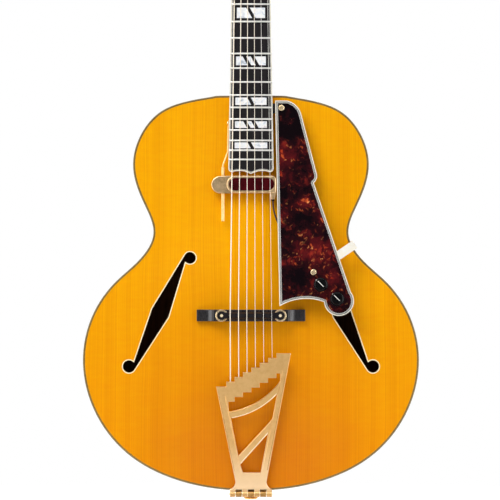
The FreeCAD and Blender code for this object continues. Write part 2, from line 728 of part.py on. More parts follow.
def make_nut():
    """Bone nut with a slot for each string, cut from its top."""
    body = new_body("nut", NECK)
    sketch = new_sketch(body, "nut_side", "YZ_Plane", "-dim.nut_width/2")
    draw_outline(sketch, [
        ("dim.board_thickness", "0.02"), ("dim.board_thickness", "dim.nut_length"),
        ("dim.board_thickness - dim.nut_height + 1", "dim.nut_length"),
        ("dim.board_thickness - dim.nut_height", "0.02")])
    pad(body, sketch, "dim.nut_width")
    for order, radius in enumerate(STRING_RADII):
        slot = new_sketch(body, f"nut_slot_{order + 1}", "XY_Plane", "-1")
        across = f"dim.nut_pitch*({order} - 2.5)"
        floor = f"-dim.string_rise_nut + {across}*{across}/2/dim.board_radius + dim.string_clearance/2"
        draw_outline(slot, [
            (f"{across} - {radius} - 0.2", floor), (f"{across} + {radius} + 0.2", floor),
            (f"{across} + {radius} + 0.2", "-8"), (f"{across} - {radius} - 0.2", "-8")])
        pocket(body, slot, "dim.nut_length + 4", True)


def make_headstock():
    inner = head_layer(HEAD_PLIES, 0, 0, dim.overlay_thickness)
    middle = head_layer(dim.head_outer_ply, 0, 0, dim.overlay_thickness)
    outer = head_layer(0, 0, 0, dim.overlay_thickness)
    holes = group([Part.makeCylinder(dim.hole_radius + dim.seat_fit, 8, Vector(place.x, -2, place.z),
                                     Vector(0, 1, 0)) for side, place in tuner_places()])
    access = block(-4, 4, -1, 10, 4, 34)
    overlay = inner.cut(holes).cut(access).cut(head_screw_shapes(dim.seat_fit))
    room = placed(block(-FAR, FAR, -FAR, dim.board_thickness, -FAR, dim.nut_length),
                  HEAD.inverse().multiply(NECK))
    keep("headstock_overlay", overlay.cut(room), HEAD)
    keep("headstock_binding", group([middle.cut(inner).cut(room), outer.cut(middle).cut(room)]), HEAD)

    cover = new_body("truss_rod_cover", HEAD)
    sketch = new_sketch(cover, "cover_outline")
    top = "dim.cover_start + dim.cover_length"
    draw_outline(sketch, [
        ("-dim.cover_width/2", "dim.cover_start"), ("dim.cover_width/2", "dim.cover_start"),
        ("dim.cover_width/2 - 1", f"{top} - 12", ("dim.cover_width/2 - 4", f"{top} - 4")),
        ("0", top, ("-dim.cover_width/2 + 4", f"{top} - 4")), ("-dim.cover_width/2 + 1", f"{top} - 12")])
    pad(cover, sketch, "dim.cover_thickness")
    holes = new_sketch(cover, "cover_holes")
    for across, up in COVER_SCREWS:
        draw_circle(holes, across, up, "1.2 + dim.seat_fit")
    pocket(cover, holes, "dim.cover_thickness", True)


COVER_SCREWS = [("-dim.cover_width/2 + 3", "dim.cover_start + 3"),
                ("dim.cover_width/2 - 3", "dim.cover_start + 3"),
                ("0", "dim.cover_start + dim.cover_length - 4")]


def screw_shape(place, direction, shank, length, head, head_height, clearance=0):
    """A round-headed screw: direction points out of the wood, place is under the head."""
    stem = Part.makeCylinder(shank + clearance, length + clearance, place, direction * -1)
    if clearance:
        return stem
    cap = Part.makeCylinder(head, head_height, place, direction)
    rim = [edge for edge in cap.Edges if (edge.CenterOfMass - place).dot(direction) > head_height * 0.8
           and isinstance(edge.Curve, Part.Circle)]
    cap = cap.makeFillet(head_height * 0.6, rim)
    slot_center = place + direction * head_height
    slot = Part.makeBox(head * 2.2, 0.7, 0.9, Vector(-head * 1.1, -0.35, -0.5))
    slot = placed(slot, Placement(slot_center, Rotation(Vector(0, 0, 1), direction)))
    return joined(stem, cap).cut(slot)


def head_screw_shapes(clearance=0):
    """Screws of the truss rod cover, then one at the foot of each tuner housing."""
    screws = []
    front = Vector(0, -1, 0)
    for across, up in COVER_SCREWS:
        place = Vector(value(across), -dim.cover_thickness, value(up))
        screws.append(screw_shape(place, front, 1.2, 7, 2, 1.1, clearance))
    for side, place in tuner_places():
        low = Vector(place.x, HEAD_DEPTH + 2, place.z - dim.gear_radius - 6)
        screws.append(screw_shape(low, front * -1, 1.2, 8, 2.2, 1.3, clearance))
    return group(screws)


# Tuners

def tuner_post(label, place):
    """Post with its gear: turned, toothed at the back end and drilled for the string."""
    body = new_body(label, HEAD.multiply(Placement(place, TO_FRONT)))
    back = "dim.overlay_thickness + dim.head_thickness"
    gear_low = f"-({back}) - 3 - dim.gear_height"
    gear_high = f"-({back}) - 3"
    turn(body, f"{label}_profile", [
        ("0", f"{gear_low} - 1.5"), ("dim.post_radius", f"{gear_low} - 1.5"), ("dim.post_radius", gear_low),
        ("dim.gear_radius", gear_low), ("dim.gear_radius", gear_high), ("dim.post_radius", gear_high),
        ("dim.post_radius", "4"), ("dim.capstan_radius", "4.8"),
        ("dim.capstan_radius", "dim.post_height - 3"), ("dim.post_radius + 0.4", "dim.post_height - 1.6"),
        ("dim.post_radius + 0.2", "dim.post_height - 0.4"), ("dim.post_radius - 0.6", "dim.post_height"),
        ("0", "dim.post_height")])
    eye = new_sketch(body, f"{label}_eye", "XZ_Plane", "-10")
    draw_circle(eye, "0", "dim.post_height - 3.6", "0.9")
    pocket(body, eye, "20", True)
    tooth = new_sketch(body, f"{label}_tooth", "XY_Plane", gear_low)
    draw_outline(tooth, [("dim.gear_radius - 1", "-0.25"), ("dim.gear_radius + 0.3", "-0.7"),
                         ("dim.gear_radius + 0.3", "0.7"), ("dim.gear_radius - 1", "0.25")])
    cut = pocket(body, tooth, "dim.gear_height", True)
    around(body, cut, "dim.gear_teeth")


def worm_level():
    return HEAD_DEPTH + 3 + dim.gear_height / 2


def tuner_button(label, side, place):
    """Button and its worm shaft, turning about the shaft's axis, which points out of the headstock."""
    centre = Vector(place.x, worm_level(), place.z + dim.worm_offset)
    outward = Rotation(Vector(0, 0, 1), Vector(side, 0, 0))
    body = new_body(label, HEAD.multiply(Placement(centre, outward)))
    start = "-dim.housing_width/2 + dim.housing_wall"
    wall = "dim.housing_width/2"
    root = "dim.housing_width/2 + dim.button_gap"
    turn(body, f"{label}_shaft", [
        ("0", start), ("dim.worm_radius", start), ("dim.worm_radius", f"{wall} + 1.2"),
        ("3.2", f"{wall} + 1.2"), ("3.2", f"{wall} + 3"), ("dim.worm_radius", f"{wall} + 4"),
        ("dim.worm_radius + 0.4", root), ("dim.worm_radius + 0.4", f"{root} + 2"), ("0", f"{root} + 2")])
    oval = new_sketch(body, f"{label}_oval", "XZ_Plane", "-dim.button_thickness/2")
    low = root
    high = f"{root} + dim.button_length"
    middle = f"{root} + dim.button_length/2"
    half = "dim.button_width/2"
    draw_outline(oval, [
        (f"-{half}*0.55", low), (f"{half}*0.55", low, (f"{half}*0.94", f"{low} + dim.button_length*0.18")),
        (half, middle, (f"{half}*0.8", f"{high} - dim.button_length*0.15")),
        ("0", high, (f"-{half}*0.8", f"{high} - dim.button_length*0.15")),
        (f"-{half}", middle, (f"-{half}*0.94", f"{low} + dim.button_length*0.18"))])
    slab = pad(body, oval, "dim.button_thickness")
    rounding = body.newObject("PartDesign::Fillet", f"{label}_rounding")
    edges = [f"Edge{index + 1}" for index, edge in enumerate(slab.Shape.Edges)
             if abs(abs(edge.CenterOfMass.y) - dim.button_thickness / 2) < 1e-4]
    rounding.Base = (slab, edges)
    rounding.Radius = 1.8
    body.Tip = rounding
    doc.recompute()


def housing_shape():
    """Sealed gear case for the bass side, with room for the gear, the worm and the post's foot."""
    half = dim.housing_width / 2
    foot = -dim.gear_radius - 9
    top = dim.worm_offset + dim.worm_radius + dim.housing_wall
    case = block(-half, half, 0, dim.housing_height, -dim.gear_radius - 3, top)
    outer_edges = [edge for edge in case.Edges
                   if edge.CenterOfMass.y > 1 and abs(edge.tangentAt(edge.FirstParameter).y) < 0.9]
    case = case.makeFillet(2.4, outer_edges)
    tab = block(-4, 4, 0, 2, foot, 0)
    case = joined(case, tab)
    gear_room = Part.makeCylinder(dim.gear_radius + dim.gear_clearance, dim.gear_height + 1,
                                  Vector(0, 2.5, 0), Vector(0, 1, 0))
    post_room = Part.makeCylinder(dim.post_radius + dim.running_fit, dim.gear_height + 5.2,
                                  Vector(0, -0.5, 0), Vector(0, 1, 0))
    worm_end = Vector(half - dim.housing_wall + 0.5, 3 + dim.gear_height / 2, dim.worm_offset)
    worm_room = Part.makeCylinder(dim.worm_radius + dim.running_fit, dim.housing_width, worm_end,
                                  Vector(-1, 0, 0))
    hole = Part.makeCylinder(1.2 + dim.seat_fit, 6, Vector(0, -1, -dim.gear_radius - 6), Vector(0, 1, 0))
    return case.cut(gear_room).cut(post_room).cut(worm_room).cut(hole)


def make_tuners():
    case = housing_shape()
    cases = []
    for side, place in tuner_places():
        shape = case if side < 0 else mirrored(case)
        cases.append(placed(shape, Placement(place + Vector(0, HEAD_DEPTH, 0), Rotation())))
    keep("tuner_housings", group(cases), HEAD)

    master = new_body("bushing_master", listed=False)
    turn(master, "bushing_profile", [
        ("dim.post_radius + dim.running_fit", "-10"), ("dim.hole_radius", "-10"), ("dim.hole_radius", "0"),
        ("dim.bushing_flange_radius", "0"), ("dim.bushing_flange_radius", "dim.bushing_flange_height - 1"),
        ("dim.bushing_flange_radius - 1.4", "dim.bushing_flange_height"),
        ("dim.post_radius + dim.running_fit", "dim.bushing_flange_height")])
    bushings = [placed(master.Shape, Placement(place, TO_FRONT)) for side, place in tuner_places()]
    keep("tuner_bushings", group(bushings), HEAD)
    keep("headstock_screws", head_screw_shapes(), HEAD)
    for number, (side, place) in enumerate(tuner_places(), start=1):
        tuner_post(f"tuner_post_{number}", place)
        tuner_button(f"tuner_button_{number}", side, place)


# Strings: bass side first

STRING_RADII = [0.66, 0.53, 0.42, 0.33, 0.24, 0.19]
TAIL_FRAME = Placement(Vector(0, -RIM - dim.hinge_rise, -dim.hinge_drop),
                       Rotation(Vector(1, 0, 0), dim.tailpiece_tilt))
SADDLE_STATION = NECK.multVec(Vector(0, 0, -dim.scale_length)).z


def string_across_tail(order):
    return dim.stair_first + dim.stair_tread * (order + 0.5)


def tail_anchor(order):
    """Place of the ball end in the tailpiece's own frame, behind the middle of the plate."""
    height = dim.stair_start + dim.stair_riser * (order + 1) - dim.ball_inset
    return Vector(string_across_tail(order), dim.ball_set_back, height)


def string_at_neck(order, pitch, rise, distance):
    across = pitch * (order - 2.5)
    sag = across * across / 2 / dim.board_radius
    return NECK.multVec(Vector(across, sag - rise - STRING_RADII[order], -distance))


def winding_points(wire, side, place, nut):
    """Quarter-turn points of the winding and the headings there, lowest turn first, in the head's frame.
    The first one is where the straight run from the nut meets the post."""
    radius = dim.capstan_radius + dim.string_clearance + wire
    rise = (2 * wire + dim.winding_gap) / (2 * math.pi)
    level = -dim.winding_start - wire
    reach = Vector(place.x - nut.x, 0, place.z - nut.z)
    swing = side * math.asin(radius / reach.Length)
    ahead = math.atan2(reach.z, reach.x) + swing
    start = ahead + side * math.pi / 2
    points = []
    headings = []
    for step in range(int(dim.winding_turns * 4) + 1):
        sweep = step * math.pi / 2
        angle = start - side * sweep
        points.append(Vector(place.x + radius * math.cos(angle), level - rise * sweep,
                             place.z + radius * math.sin(angle)))
        heading = Vector(side * radius * math.sin(angle), -rise, -side * radius * math.cos(angle))
        headings.append(heading.normalize())
    headings[0] = (points[0] - nut).normalize()
    return points, headings


def string_path(order):
    """Corners of the straight runs, from the ball end over saddle and nut, and the turns on the post."""
    wire = STRING_RADII[order]
    tuner = (0, 1, 2, 5, 4, 3)[order]
    side, place = tuner_places()[tuner]
    anchor = TAIL_FRAME.multVec(tail_anchor(order))
    saddle = string_at_neck(order, dim.saddle_pitch, dim.string_rise_saddle, dim.scale_length)
    nut_front = string_at_neck(order, dim.nut_pitch, dim.string_rise_nut, 0)
    nut_back = string_at_neck(order, dim.nut_pitch, dim.string_rise_nut, -dim.nut_length)
    points, headings = winding_points(wire, side, place, HEAD.inverse().multVec(nut_back))
    turns = [HEAD.multVec(point) for point in points]
    ways = [HEAD.Rotation.multVec(heading) for heading in headings]
    return [anchor, saddle, nut_front, nut_back, turns[0]], turns, ways


def arc_from(start, heading, stop):
    """The arc that leaves start along heading and ends at stop."""
    chord = stop - start
    along = Vector(chord).normalize()
    bulge = heading - along * heading.dot(along)
    half_sweep = heading.getAngle(along)
    middle = start + chord * 0.5 + bulge.normalize() * (chord.Length / 2 * math.tan(half_sweep / 2))
    return arc(start, middle, stop)


def paired_arcs(start, heading, stop, last_heading):
    """Two tangent arcs between two places with given headings."""
    chord = stop - start
    total = heading + last_heading
    spare = 2 * (1 - heading.dot(last_heading))
    lean = chord.dot(total)
    reach = (-lean + math.sqrt(lean * lean + spare * chord.dot(chord))) / spare
    middle = (start + heading * reach + stop - last_heading * reach) * 0.5
    way = (stop - last_heading * reach - start - heading * reach).normalize()
    return [arc_from(start, heading, middle), arc_from(middle, way, stop)]


def rounded_edges(corners, bend):
    """Straight runs through the corners, each corner taken by a tangent arc."""
    edges = []
    here = corners[0]
    for before, corner, after in zip(corners, corners[1:], corners[2:]):
        toward = (corner - before).normalize()
        away = (after - corner).normalize()
        angle = toward.getAngle(away)
        trim = bend * math.tan(angle / 2)
        start = corner - toward * trim
        stop = corner + away * trim
        middle = corner + (away - toward).normalize() * (bend / math.cos(angle / 2) - bend)
        edges.append(line(here, start))
        edges.append(arc(start, middle, stop))
        here = stop
    edges.append(line(here, corners[-1]))
    return edges


def pipe(edges, radius):
    path = Part.Wire(edges)
    first = edges[0]
    start = first.Vertexes[0].Point
    direction = first.tangentAt(first.FirstParameter)
    ring = Part.Wire([Part.makeCircle(radius, start, direction)])
    return path.makePipeShell([ring], True, False)


def least_gap_to_itself(points, radius):
    """Least distance between places that are more than half a turn apart, less the wire."""
    least = FAR
    for index, point in enumerate(points):
        for other in points[index + 33:]:
            least = min(least, (point - other).Length - 2 * radius)
    return least


def string_shape(order):
    wire = STRING_RADII[order]
    corners, turns, ways = string_path(order)
    edges = rounded_edges(corners, 6)
    coil = []
    for index in range(len(turns) - 1):
        coil.extend(paired_arcs(turns[index], ways[index], turns[index + 1], ways[index + 1]))
    samples = []
    for edge in coil:
        samples.extend(edge.discretize(Number=9)[:-1])
    gap = least_gap_to_itself(samples, wire)
    print(f"string {order + 1}: least gap between turns {gap:.2f} mm")
    ball = Part.makeCylinder(dim.ball_radius, dim.ball_length, corners[0] - Vector(dim.ball_length / 2, 0, 0),
                             Vector(1, 0, 0))
    return joined(pipe(edges + coil, wire), ball)


def make_strings():
    shapes = [string_shape(order) for order in range(6)]
    keep("wound_strings", group(shapes[:4]))
    keep("plain_strings", group(shapes[4:]))


# Bridge: its own frame has Z out of the top, its origin on the crest of the arch under the saddle

def arch_level(across, station):
    return -RIM - dim.top_arch * arch_share(across, station)


CREST = arch_level(0, SADDLE_STATION)
BRIDGE = Placement(Vector(0, CREST, SADDLE_STATION), TO_FRONT)
STRING_CREST = CREST - string_at_neck(2, dim.saddle_pitch, dim.string_rise_saddle, dim.scale_length).y
SADDLE_FOOT = dim.bridge_height + dim.wheel_rise + dim.wheel_height


def make_bridge():
    half = dim.bridge_length / 2
    shoulder = dim.stud_spacing / 2 + dim.wheel_radius + 3
    top = dim.bridge_height
    wing = dim.bridge_wing_height - 4
    profile = [
        line(Vector(-half, 0, -12), Vector(half, 0, -12)), line(Vector(half, 0, -12), Vector(half, 0, wing)),
        line(Vector(half, 0, wing), Vector(half - 8, 0, wing)),
        arc(Vector(half - 8, 0, wing), Vector((half - 8 + shoulder) / 2, 0, wing + 0.6),
            Vector(shoulder, 0, top)),
        line(Vector(shoulder, 0, top), Vector(-shoulder, 0, top)),
        arc(Vector(-shoulder, 0, top), Vector(-(half - 8 + shoulder) / 2, 0, wing + 0.6),
            Vector(8 - half, 0, wing)),
        line(Vector(8 - half, 0, wing), Vector(-half, 0, wing)),
        line(Vector(-half, 0, wing), Vector(-half, 0, -12))]
    face = closed_face(profile)
    face.translate(Vector(0, -dim.bridge_width / 2, 0))
    base = placed(face.extrude(Vector(0, dim.bridge_width, 0)), BRIDGE)
    below = arch_face(dim.top_arch, -RIM, -1).extrude(Vector(0, 30, 0))
    base = base.cut(below)
    sockets = []
    for side in (-1, 1):
        socket = Part.makeCylinder(dim.stud_radius + dim.seat_fit, dim.stud_socket + 1,
                                   Vector(side * dim.stud_spacing / 2, 0, top - dim.stud_socket))
        sockets.append(placed(socket, BRIDGE))
    keep("bridge_base", base.cut(group(sockets)))

    studs = []
    for side in (-1, 1):
        length = dim.stud_socket + dim.wheel_rise + dim.wheel_height + dim.saddle_lobe_height + dim.stud_top
        stud = Part.makeCylinder(dim.stud_radius, length,
                                 Vector(side * dim.stud_spacing / 2, 0, top - dim.stud_socket))
        studs.append(stud)
    keep("bridge_studs", group(studs), BRIDGE)

    for name, side in (("bass", -1), ("treble", 1)):
        place = Vector(side * dim.stud_spacing / 2, 0, dim.bridge_height + dim.wheel_rise)
        wheel = new_body(f"thumbwheel_{name}", BRIDGE.multiply(Placement(place, Rotation())))
        turn(wheel, f"wheel_{name}_profile", [
            ("dim.stud_radius + dim.running_fit", "0"), ("dim.wheel_radius - 0.6", "0"),
            ("dim.wheel_radius", "0.6"),
            ("dim.wheel_radius", "dim.wheel_height - 0.6"), ("dim.wheel_radius - 0.6", "dim.wheel_height"),
            ("dim.stud_radius + dim.running_fit", "dim.wheel_height")])
        notch = new_sketch(wheel, f"wheel_{name}_notch", "XY_Plane")
        draw_outline(notch, [("dim.wheel_radius - 0.5", "-0.15"), ("dim.wheel_radius + 0.3", "-0.55"),
                             ("dim.wheel_radius + 0.3", "0.55"), ("dim.wheel_radius - 0.5", "0.15")])
        cut = pocket(wheel, notch, "dim.wheel_height", True)
        around(wheel, cut, "dim.wheel_notches")
    make_saddle()


def make_saddle():
    """Ebony saddle: round lobes over the wheels, a raised middle whose crest follows the board's camber."""
    middle_half = dim.saddle_pitch * 2.5 + 3.4
    foot = SADDLE_FOOT
    lobe_top = foot + dim.saddle_lobe_height
    half = dim.stud_spacing / 2
    width = dim.saddle_width / 2
    bar = block(-half, half, -width + 0.5, width - 0.5, foot, lobe_top)
    lobes = [Part.makeCylinder(dim.saddle_lobe_radius, dim.saddle_lobe_height, Vector(side * half, 0, foot))
             for side in (-1, 1)]
    crest_radius = dim.board_radius
    crest = STRING_CREST - STRING_RADII[2] - dim.string_clearance
    ridge = block(-middle_half, middle_half, -width, width, foot, crest + 3)
    crown = Part.makeCylinder(crest_radius, 40, Vector(0, -20, crest - crest_radius), Vector(0, 1, 0))
    slant = flat([Vector(-FAR, -width, foot - 1), Vector(-FAR, width, foot - 1),
                  Vector(-FAR, width, lobe_top - 1), Vector(-FAR, 1.2, crest + 3),
                  Vector(-FAR, -1.2, crest + 3), Vector(-FAR, -width, lobe_top - 1)])
    slant = slant.extrude(Vector(2 * FAR, 0, 0))
    ridge = ridge.common(crown).common(slant)
    saddle = joined(bar, ridge, *lobes)
    for side in (-1, 1):
        saddle = saddle.cut(Part.makeCylinder(dim.stud_radius + dim.running_fit, 30,
                                              Vector(side * half, 0, foot - 5)))
    to_bridge = BRIDGE.inverse()
    for order in range(6):
        ball_end, crossing, nut_front = string_path(order)[0][:3]
        for far_end in (ball_end, nut_front):
            way = (far_end - crossing).normalize()
            groove_radius = STRING_RADII[order] + dim.string_clearance
            groove = Part.makeCylinder(groove_radius, 20, crossing - way, way)
            saddle = saddle.cut(placed(groove, to_bridge))
    keep("bridge_saddle", saddle, BRIDGE)


# Tailpiece: its own frame has its origin on the hinge axis, Z up the plate and Y toward the body

def stair_corners(drop, first, last):
    """Corners of the treads, left to right, as expressions, lowered by drop."""
    corners = []
    for step in range(first, last):
        left = f"dim.stair_first + dim.stair_tread*({step} - 1)" if step else "dim.stair_left"
        height = f"dim.stair_start + dim.stair_riser*{step} - {drop}"
        corners.append((left, height))
        corners.append((f"dim.stair_first + dim.stair_tread*{step}", height))
    return corners


def flare_middle(leg_across, leg_height, side):
    """Middle of the arc by which a leg's outer edge runs out to the end of the hinge without a corner."""
    leg = Vector(value(leg_across), 0, value(leg_height))
    foot = Vector(side * dim.foot_width / 2, 0, dim.foot_height)
    tip = Vector(side * dim.hinge_width / 2, 0, dim.hinge_radius + dim.knuckle_clear)
    flare = arc_from(foot, (foot - leg).normalize(), tip)
    middle = flare.valueAt((flare.FirstParameter + flare.LastParameter) / 2)
    return str(middle.x), str(middle.z)


def make_tailpiece():
    plate = new_body("tailpiece", TAIL_FRAME)
    outline = new_sketch(plate, "tailpiece_outline", "XZ_Plane", "-dim.tailpiece_thickness/2")
    steps = stair_corners("0", 0, 7)
    last = "dim.stair_start + dim.stair_riser*7"
    foot = "dim.foot_width/2"
    edge = "dim.hinge_width/2"
    clear = "dim.hinge_radius + dim.knuckle_clear"
    spans = knuckle_spans()[::2]
    webs = []
    for left, right in reversed(spans):
        webs.extend([(str(right), clear), (str(right), "0.4"), (str(left), "0.4"), (str(left), clear)])
    draw_outline(outline, [(f"-{edge}", clear, flare_middle("dim.stair_left", "dim.stair_start", -1)),
                           (f"-{foot}", "dim.foot_height")] + steps
                 + [("dim.stair_first + dim.stair_tread*6", last), ("dim.stair_right", last),
                    (foot, "dim.foot_height", flare_middle("dim.stair_right", last, 1))] + webs[:-1])
    pad(plate, outline, "dim.tailpiece_thickness")

    upper = new_sketch(plate, "tailpiece_upper_window", "XZ_Plane", "-dim.tailpiece_thickness")
    inner = stair_corners("dim.stair_band", 1, 7)
    inner[0] = ("dim.stair_left + 15.6", inner[0][1])
    draw_outline(upper, inner + [
        ("dim.stair_first + dim.stair_tread*6", "dim.stair_start + dim.stair_riser*7 - dim.stair_band"),
        ("dim.stair_right - 13.8", "dim.stair_start + dim.stair_riser*7 - dim.stair_band"),
        ("dim.stair_right - 13.8", "dim.stair_start + 6.8", ("6.9", "dim.stair_start - 20.3")),
        ("dim.stair_left + 16.4", "dim.stair_start - 32.5")])
    pocket(plate, upper, "dim.tailpiece_thickness*2", True)
    middle = new_sketch(plate, "tailpiece_middle_window", "XZ_Plane", "-dim.tailpiece_thickness")
    draw_outline(middle, [
        ("-25.6", "99.1", ("6", "109.4")), ("33.2", "130.2"), ("27.2", "97.8"), ("-16.2", "50")])
    pocket(plate, middle, "dim.tailpiece_thickness*2", True)
    lower = new_sketch(plate, "tailpiece_lower_window", "XZ_Plane", "-dim.tailpiece_thickness")
    draw_outline(lower, [("-13.6", "38.8"), ("21.6", "78.8"), ("12.4", "28.4"), ("-10.6", "28.4")])
    windows = pocket(plate, lower, "dim.tailpiece_thickness*2", True)
    rounding = plate.newObject("PartDesign::Fillet", "tailpiece_front_rounding")
    front = -dim.tailpiece_thickness / 2 + 1e-4
    edges = [f"Edge{index + 1}" for index, edge in enumerate(windows.Shape.Edges)
             if edge.BoundBox.YMax < front and edge.BoundBox.ZMax > dim.foot_height - 0.1]
    rounding.Base = (windows, edges)
    rounding.setExpression("Radius", "dim.tailpiece_rounding")
    plate.Tip = rounding
    doc.recompute()

    for order in range(6):
        across = f"dim.stair_first + dim.stair_tread*{order + 0.5}"
        edge_height = f"dim.stair_start + dim.stair_riser*{order + 1}"
        slot = new_sketch(plate, f"string_slot_{order + 1}", "XZ_Plane",
                          "dim.tailpiece_thickness/2 - dim.string_slot_floor")
        draw_outline(slot, [
            (f"{across} - dim.string_slot/2", f"{edge_height} - dim.ball_inset"),
            (f"{across} + dim.string_slot/2", f"{edge_height} - dim.ball_inset"),
            (f"{across} + dim.string_slot/2", f"{edge_height} + 1"),
            (f"{across} - dim.string_slot/2", f"{edge_height} + 1")])
        pocket(plate, slot, "dim.tailpiece_thickness + 2")
        ball = new_sketch(plate, f"ball_pocket_{order + 1}", "XZ_Plane",
                          "dim.tailpiece_thickness/2 - dim.string_slot_floor*0.5")
        left = f"{across} - dim.ball_length/2 - 0.5"
        right = f"{across} + dim.ball_length/2 + 0.5"
        low = f"{edge_height} - dim.ball_inset - dim.ball_pocket_radius"
        high = f"{edge_height} - dim.ball_inset + dim.ball_pocket_radius"
        draw_outline(ball, [(left, low), (right, low), (right, high), (left, high)])
        pocket(plate, ball, "dim.tailpiece_thickness + 2")

    for order, (left, right) in enumerate(spans, start=1):
        barrel = new_sketch(plate, f"knuckle_{order}", "YZ_Plane", str(left))
        draw_circle(barrel, "0", "0", "dim.hinge_radius")
        pad(plate, barrel, str(right - left))
    bore = new_sketch(plate, "knuckle_bore", "YZ_Plane", "-dim.hinge_width")
    draw_circle(bore, "0", "0", "dim.pin_radius + dim.running_fit")
    pocket(plate, bore, "dim.hinge_width*2", True)


def knuckle_spans():
    """Seven knuckles along the hinge: the plate has the outer ones and every second one between."""
    count = 7
    step = (dim.hinge_width + dim.knuckle_gap) / count
    starts = [step * order - dim.hinge_width / 2 for order in range(count)]
    return [(start, start + step - dim.knuckle_gap) for start in starts]


def bracket_screw_places():
    return [Vector(across, level, tail_curve_rise(across) - dim.bracket_thickness)
            for across, level in ((-18, 12), (18, 12), (0, -20))]


def bracket_screw_shapes(clearance=0):
    """Screws that hold the tailpiece bracket to the tail block."""
    return group([screw_shape(place, Vector(0, 0, -1), dim.tail_screw_radius, dim.tail_screw_length,
                              dim.tail_screw_head, 1.8, clearance)
                  for place in bracket_screw_places()])


def bracket_screw_seats():
    """Flat spots on the strap, one under each screw's head."""
    return group([Part.makeCylinder(dim.tail_screw_head + dim.string_clearance, 4, place, Vector(0, 0, -1))
                  for place in bracket_screw_places()])


def tail_curve_rise(across):
    """Height of the tail edge of the body above its middle."""
    return min(HALF_WIDTHS, key=lambda point: abs(point.x - abs(across)) + (1000 if point.z > 100 else 0)).z


def make_tail_fittings():
    half = dim.hinge_width / 2
    strap = body_prism(-dim.bracket_thickness, -RIM - dim.hinge_rise, dim.bracket_depth / 2)
    strap = strap.cut(body_prism(0, -FAR, FAR)).common(block(-half, half, -FAR, FAR, -20, 20))
    barrels = []
    for left, right in knuckle_spans()[1::2]:
        barrel = Part.makeCylinder(dim.hinge_radius, right - left,
                                   Vector(left, -RIM - dim.hinge_rise, -dim.hinge_drop), Vector(1, 0, 0))
        barrels.append(barrel)
    for left, right in knuckle_spans()[::2]:
        room = block(left - dim.knuckle_gap, right + dim.knuckle_gap, -FAR,
                     -RIM - dim.hinge_rise + dim.hinge_radius + 1.4, -20, 20)
        strap = strap.cut(room)
    bracket = joined(strap, *barrels)
    bore = Part.makeCylinder(dim.pin_radius + dim.seat_fit, FAR, Vector(-FAR / 2, -RIM - dim.hinge_rise,
                             -dim.hinge_drop), Vector(1, 0, 0))
    hole = Part.makeCylinder(dim.jack_barrel_radius + dim.seat_fit, 40, Vector(0, 0, -20))
    bracket = bracket.cut(bracket_screw_shapes(dim.seat_fit)).cut(bracket_screw_seats())
    keep("tailpiece_bracket", bracket.cut(bore).cut(hole))
    keep("tailpiece_screws", bracket_screw_shapes())

    pin = doc.addObject("Part::Cylinder", "hinge_pin")
    pin.Label = "hinge_pin"
    pin.setExpression("Radius", "dim.pin_radius")
    pin.setExpression("Height", "dim.hinge_width + 1")
    pin.Placement = Placement(Vector(-half - 0.5, -RIM - dim.hinge_rise, -dim.hinge_drop),
                              Rotation(Vector(0, 0, 1), Vector(1, 0, 0)))
    pieces.append(pin)

    jack = new_body("end_pin_jack")
    under = "-dim.bracket_thickness"
    turn(jack, "jack_profile", [
        ("dim.jack_bore_radius", f"{under} - dim.jack_head"),
        ("dim.jack_flange_radius - 1.5", f"{under} - dim.jack_head"),
        ("dim.jack_flange_radius - 0.5", f"{under} - dim.jack_head + 1.4"),
        ("dim.jack_groove_radius", f"{under} - dim.jack_head + 4.5"),
        ("dim.jack_groove_radius", f"{under} - 3"),
        ("dim.jack_flange_radius", f"{under} - 1.6"), ("dim.jack_flange_radius", f"{under} - 0.02"),
        ("dim.jack_barrel_radius", f"{under} - 0.02"), ("dim.jack_barrel_radius", "dim.jack_length"),
        ("dim.jack_bore_radius", "dim.jack_length")])


# Pickguard: its own frame lies parallel to the strings, with its origin at the neck joint

GUARD_LEVEL = -RIM - dim.board_rise + dim.guard_set_back
GUARD = Placement(Vector(0, GUARD_LEVEL, dim.body_length), Rotation(Vector(1, 0, 0), -dim.neck_pitch))
GUARD_PLIES = dim.guard_outer_ply + dim.guard_dark_ply + dim.guard_inner_ply


def on_guard(across, station, out=0):
    """A place on the pickguard's face, from its place as seen from the front."""
    return Vector(across, -out, (station - dim.body_length) / math.cos(SLOPE))


def guard_outline(inset):
    top_left = on_guard(dim.guard_inner_top, dim.guard_top)
    top_right = on_guard(46, dim.guard_top)
    shoulder = on_guard(64.2, 484.6)
    flank = on_guard(84.6, 405.6)
    notch = on_guard(80.4, 395.4)
    side = on_guard(127.6, 256)
    low_left = on_guard(dim.guard_inner_low, dim.guard_low)
    lobe = on_guard(dim.guard_lobe_across, dim.guard_lobe_station)
    radius = dim.guard_lobe_radius
    edges = [
        line(top_left, top_right), arc(top_right, on_guard(57.4, 495.2), shoulder), line(shoulder, flank),
        arc(flank, on_guard(83.9, 400.3), notch), line(notch, side),
        arc(side, lobe + Vector(radius * 0.45, 0, -radius * 0.893), lobe + Vector(-radius * 0.995, 0, 0.8)),
        arc(lobe + Vector(-radius * 0.995, 0, 0.8), on_guard(66, 247), low_left),
        line(low_left, top_left)]
    face = closed_face(edges)
    if inset:
        face = Part.Face(face.OuterWire.makeOffset2D(-inset))
    return face


def guard_layer(inset, lower=0, upper=0):
    face = guard_outline(inset)
    face.translate(Vector(0, -upper, 0))
    return face.extrude(Vector(0, dim.guard_thickness + upper + lower, 0))


def control_places():
    return {"volume": on_guard(dim.volume_across, dim.volume_station),
            "tone": on_guard(dim.tone_across, dim.tone_station)}


def guard_screw_places():
    return [on_guard(dim.guard_screw_upper_across, dim.guard_screw_upper_station),
            on_guard(dim.guard_screw_lower_across, dim.guard_screw_lower_station)]


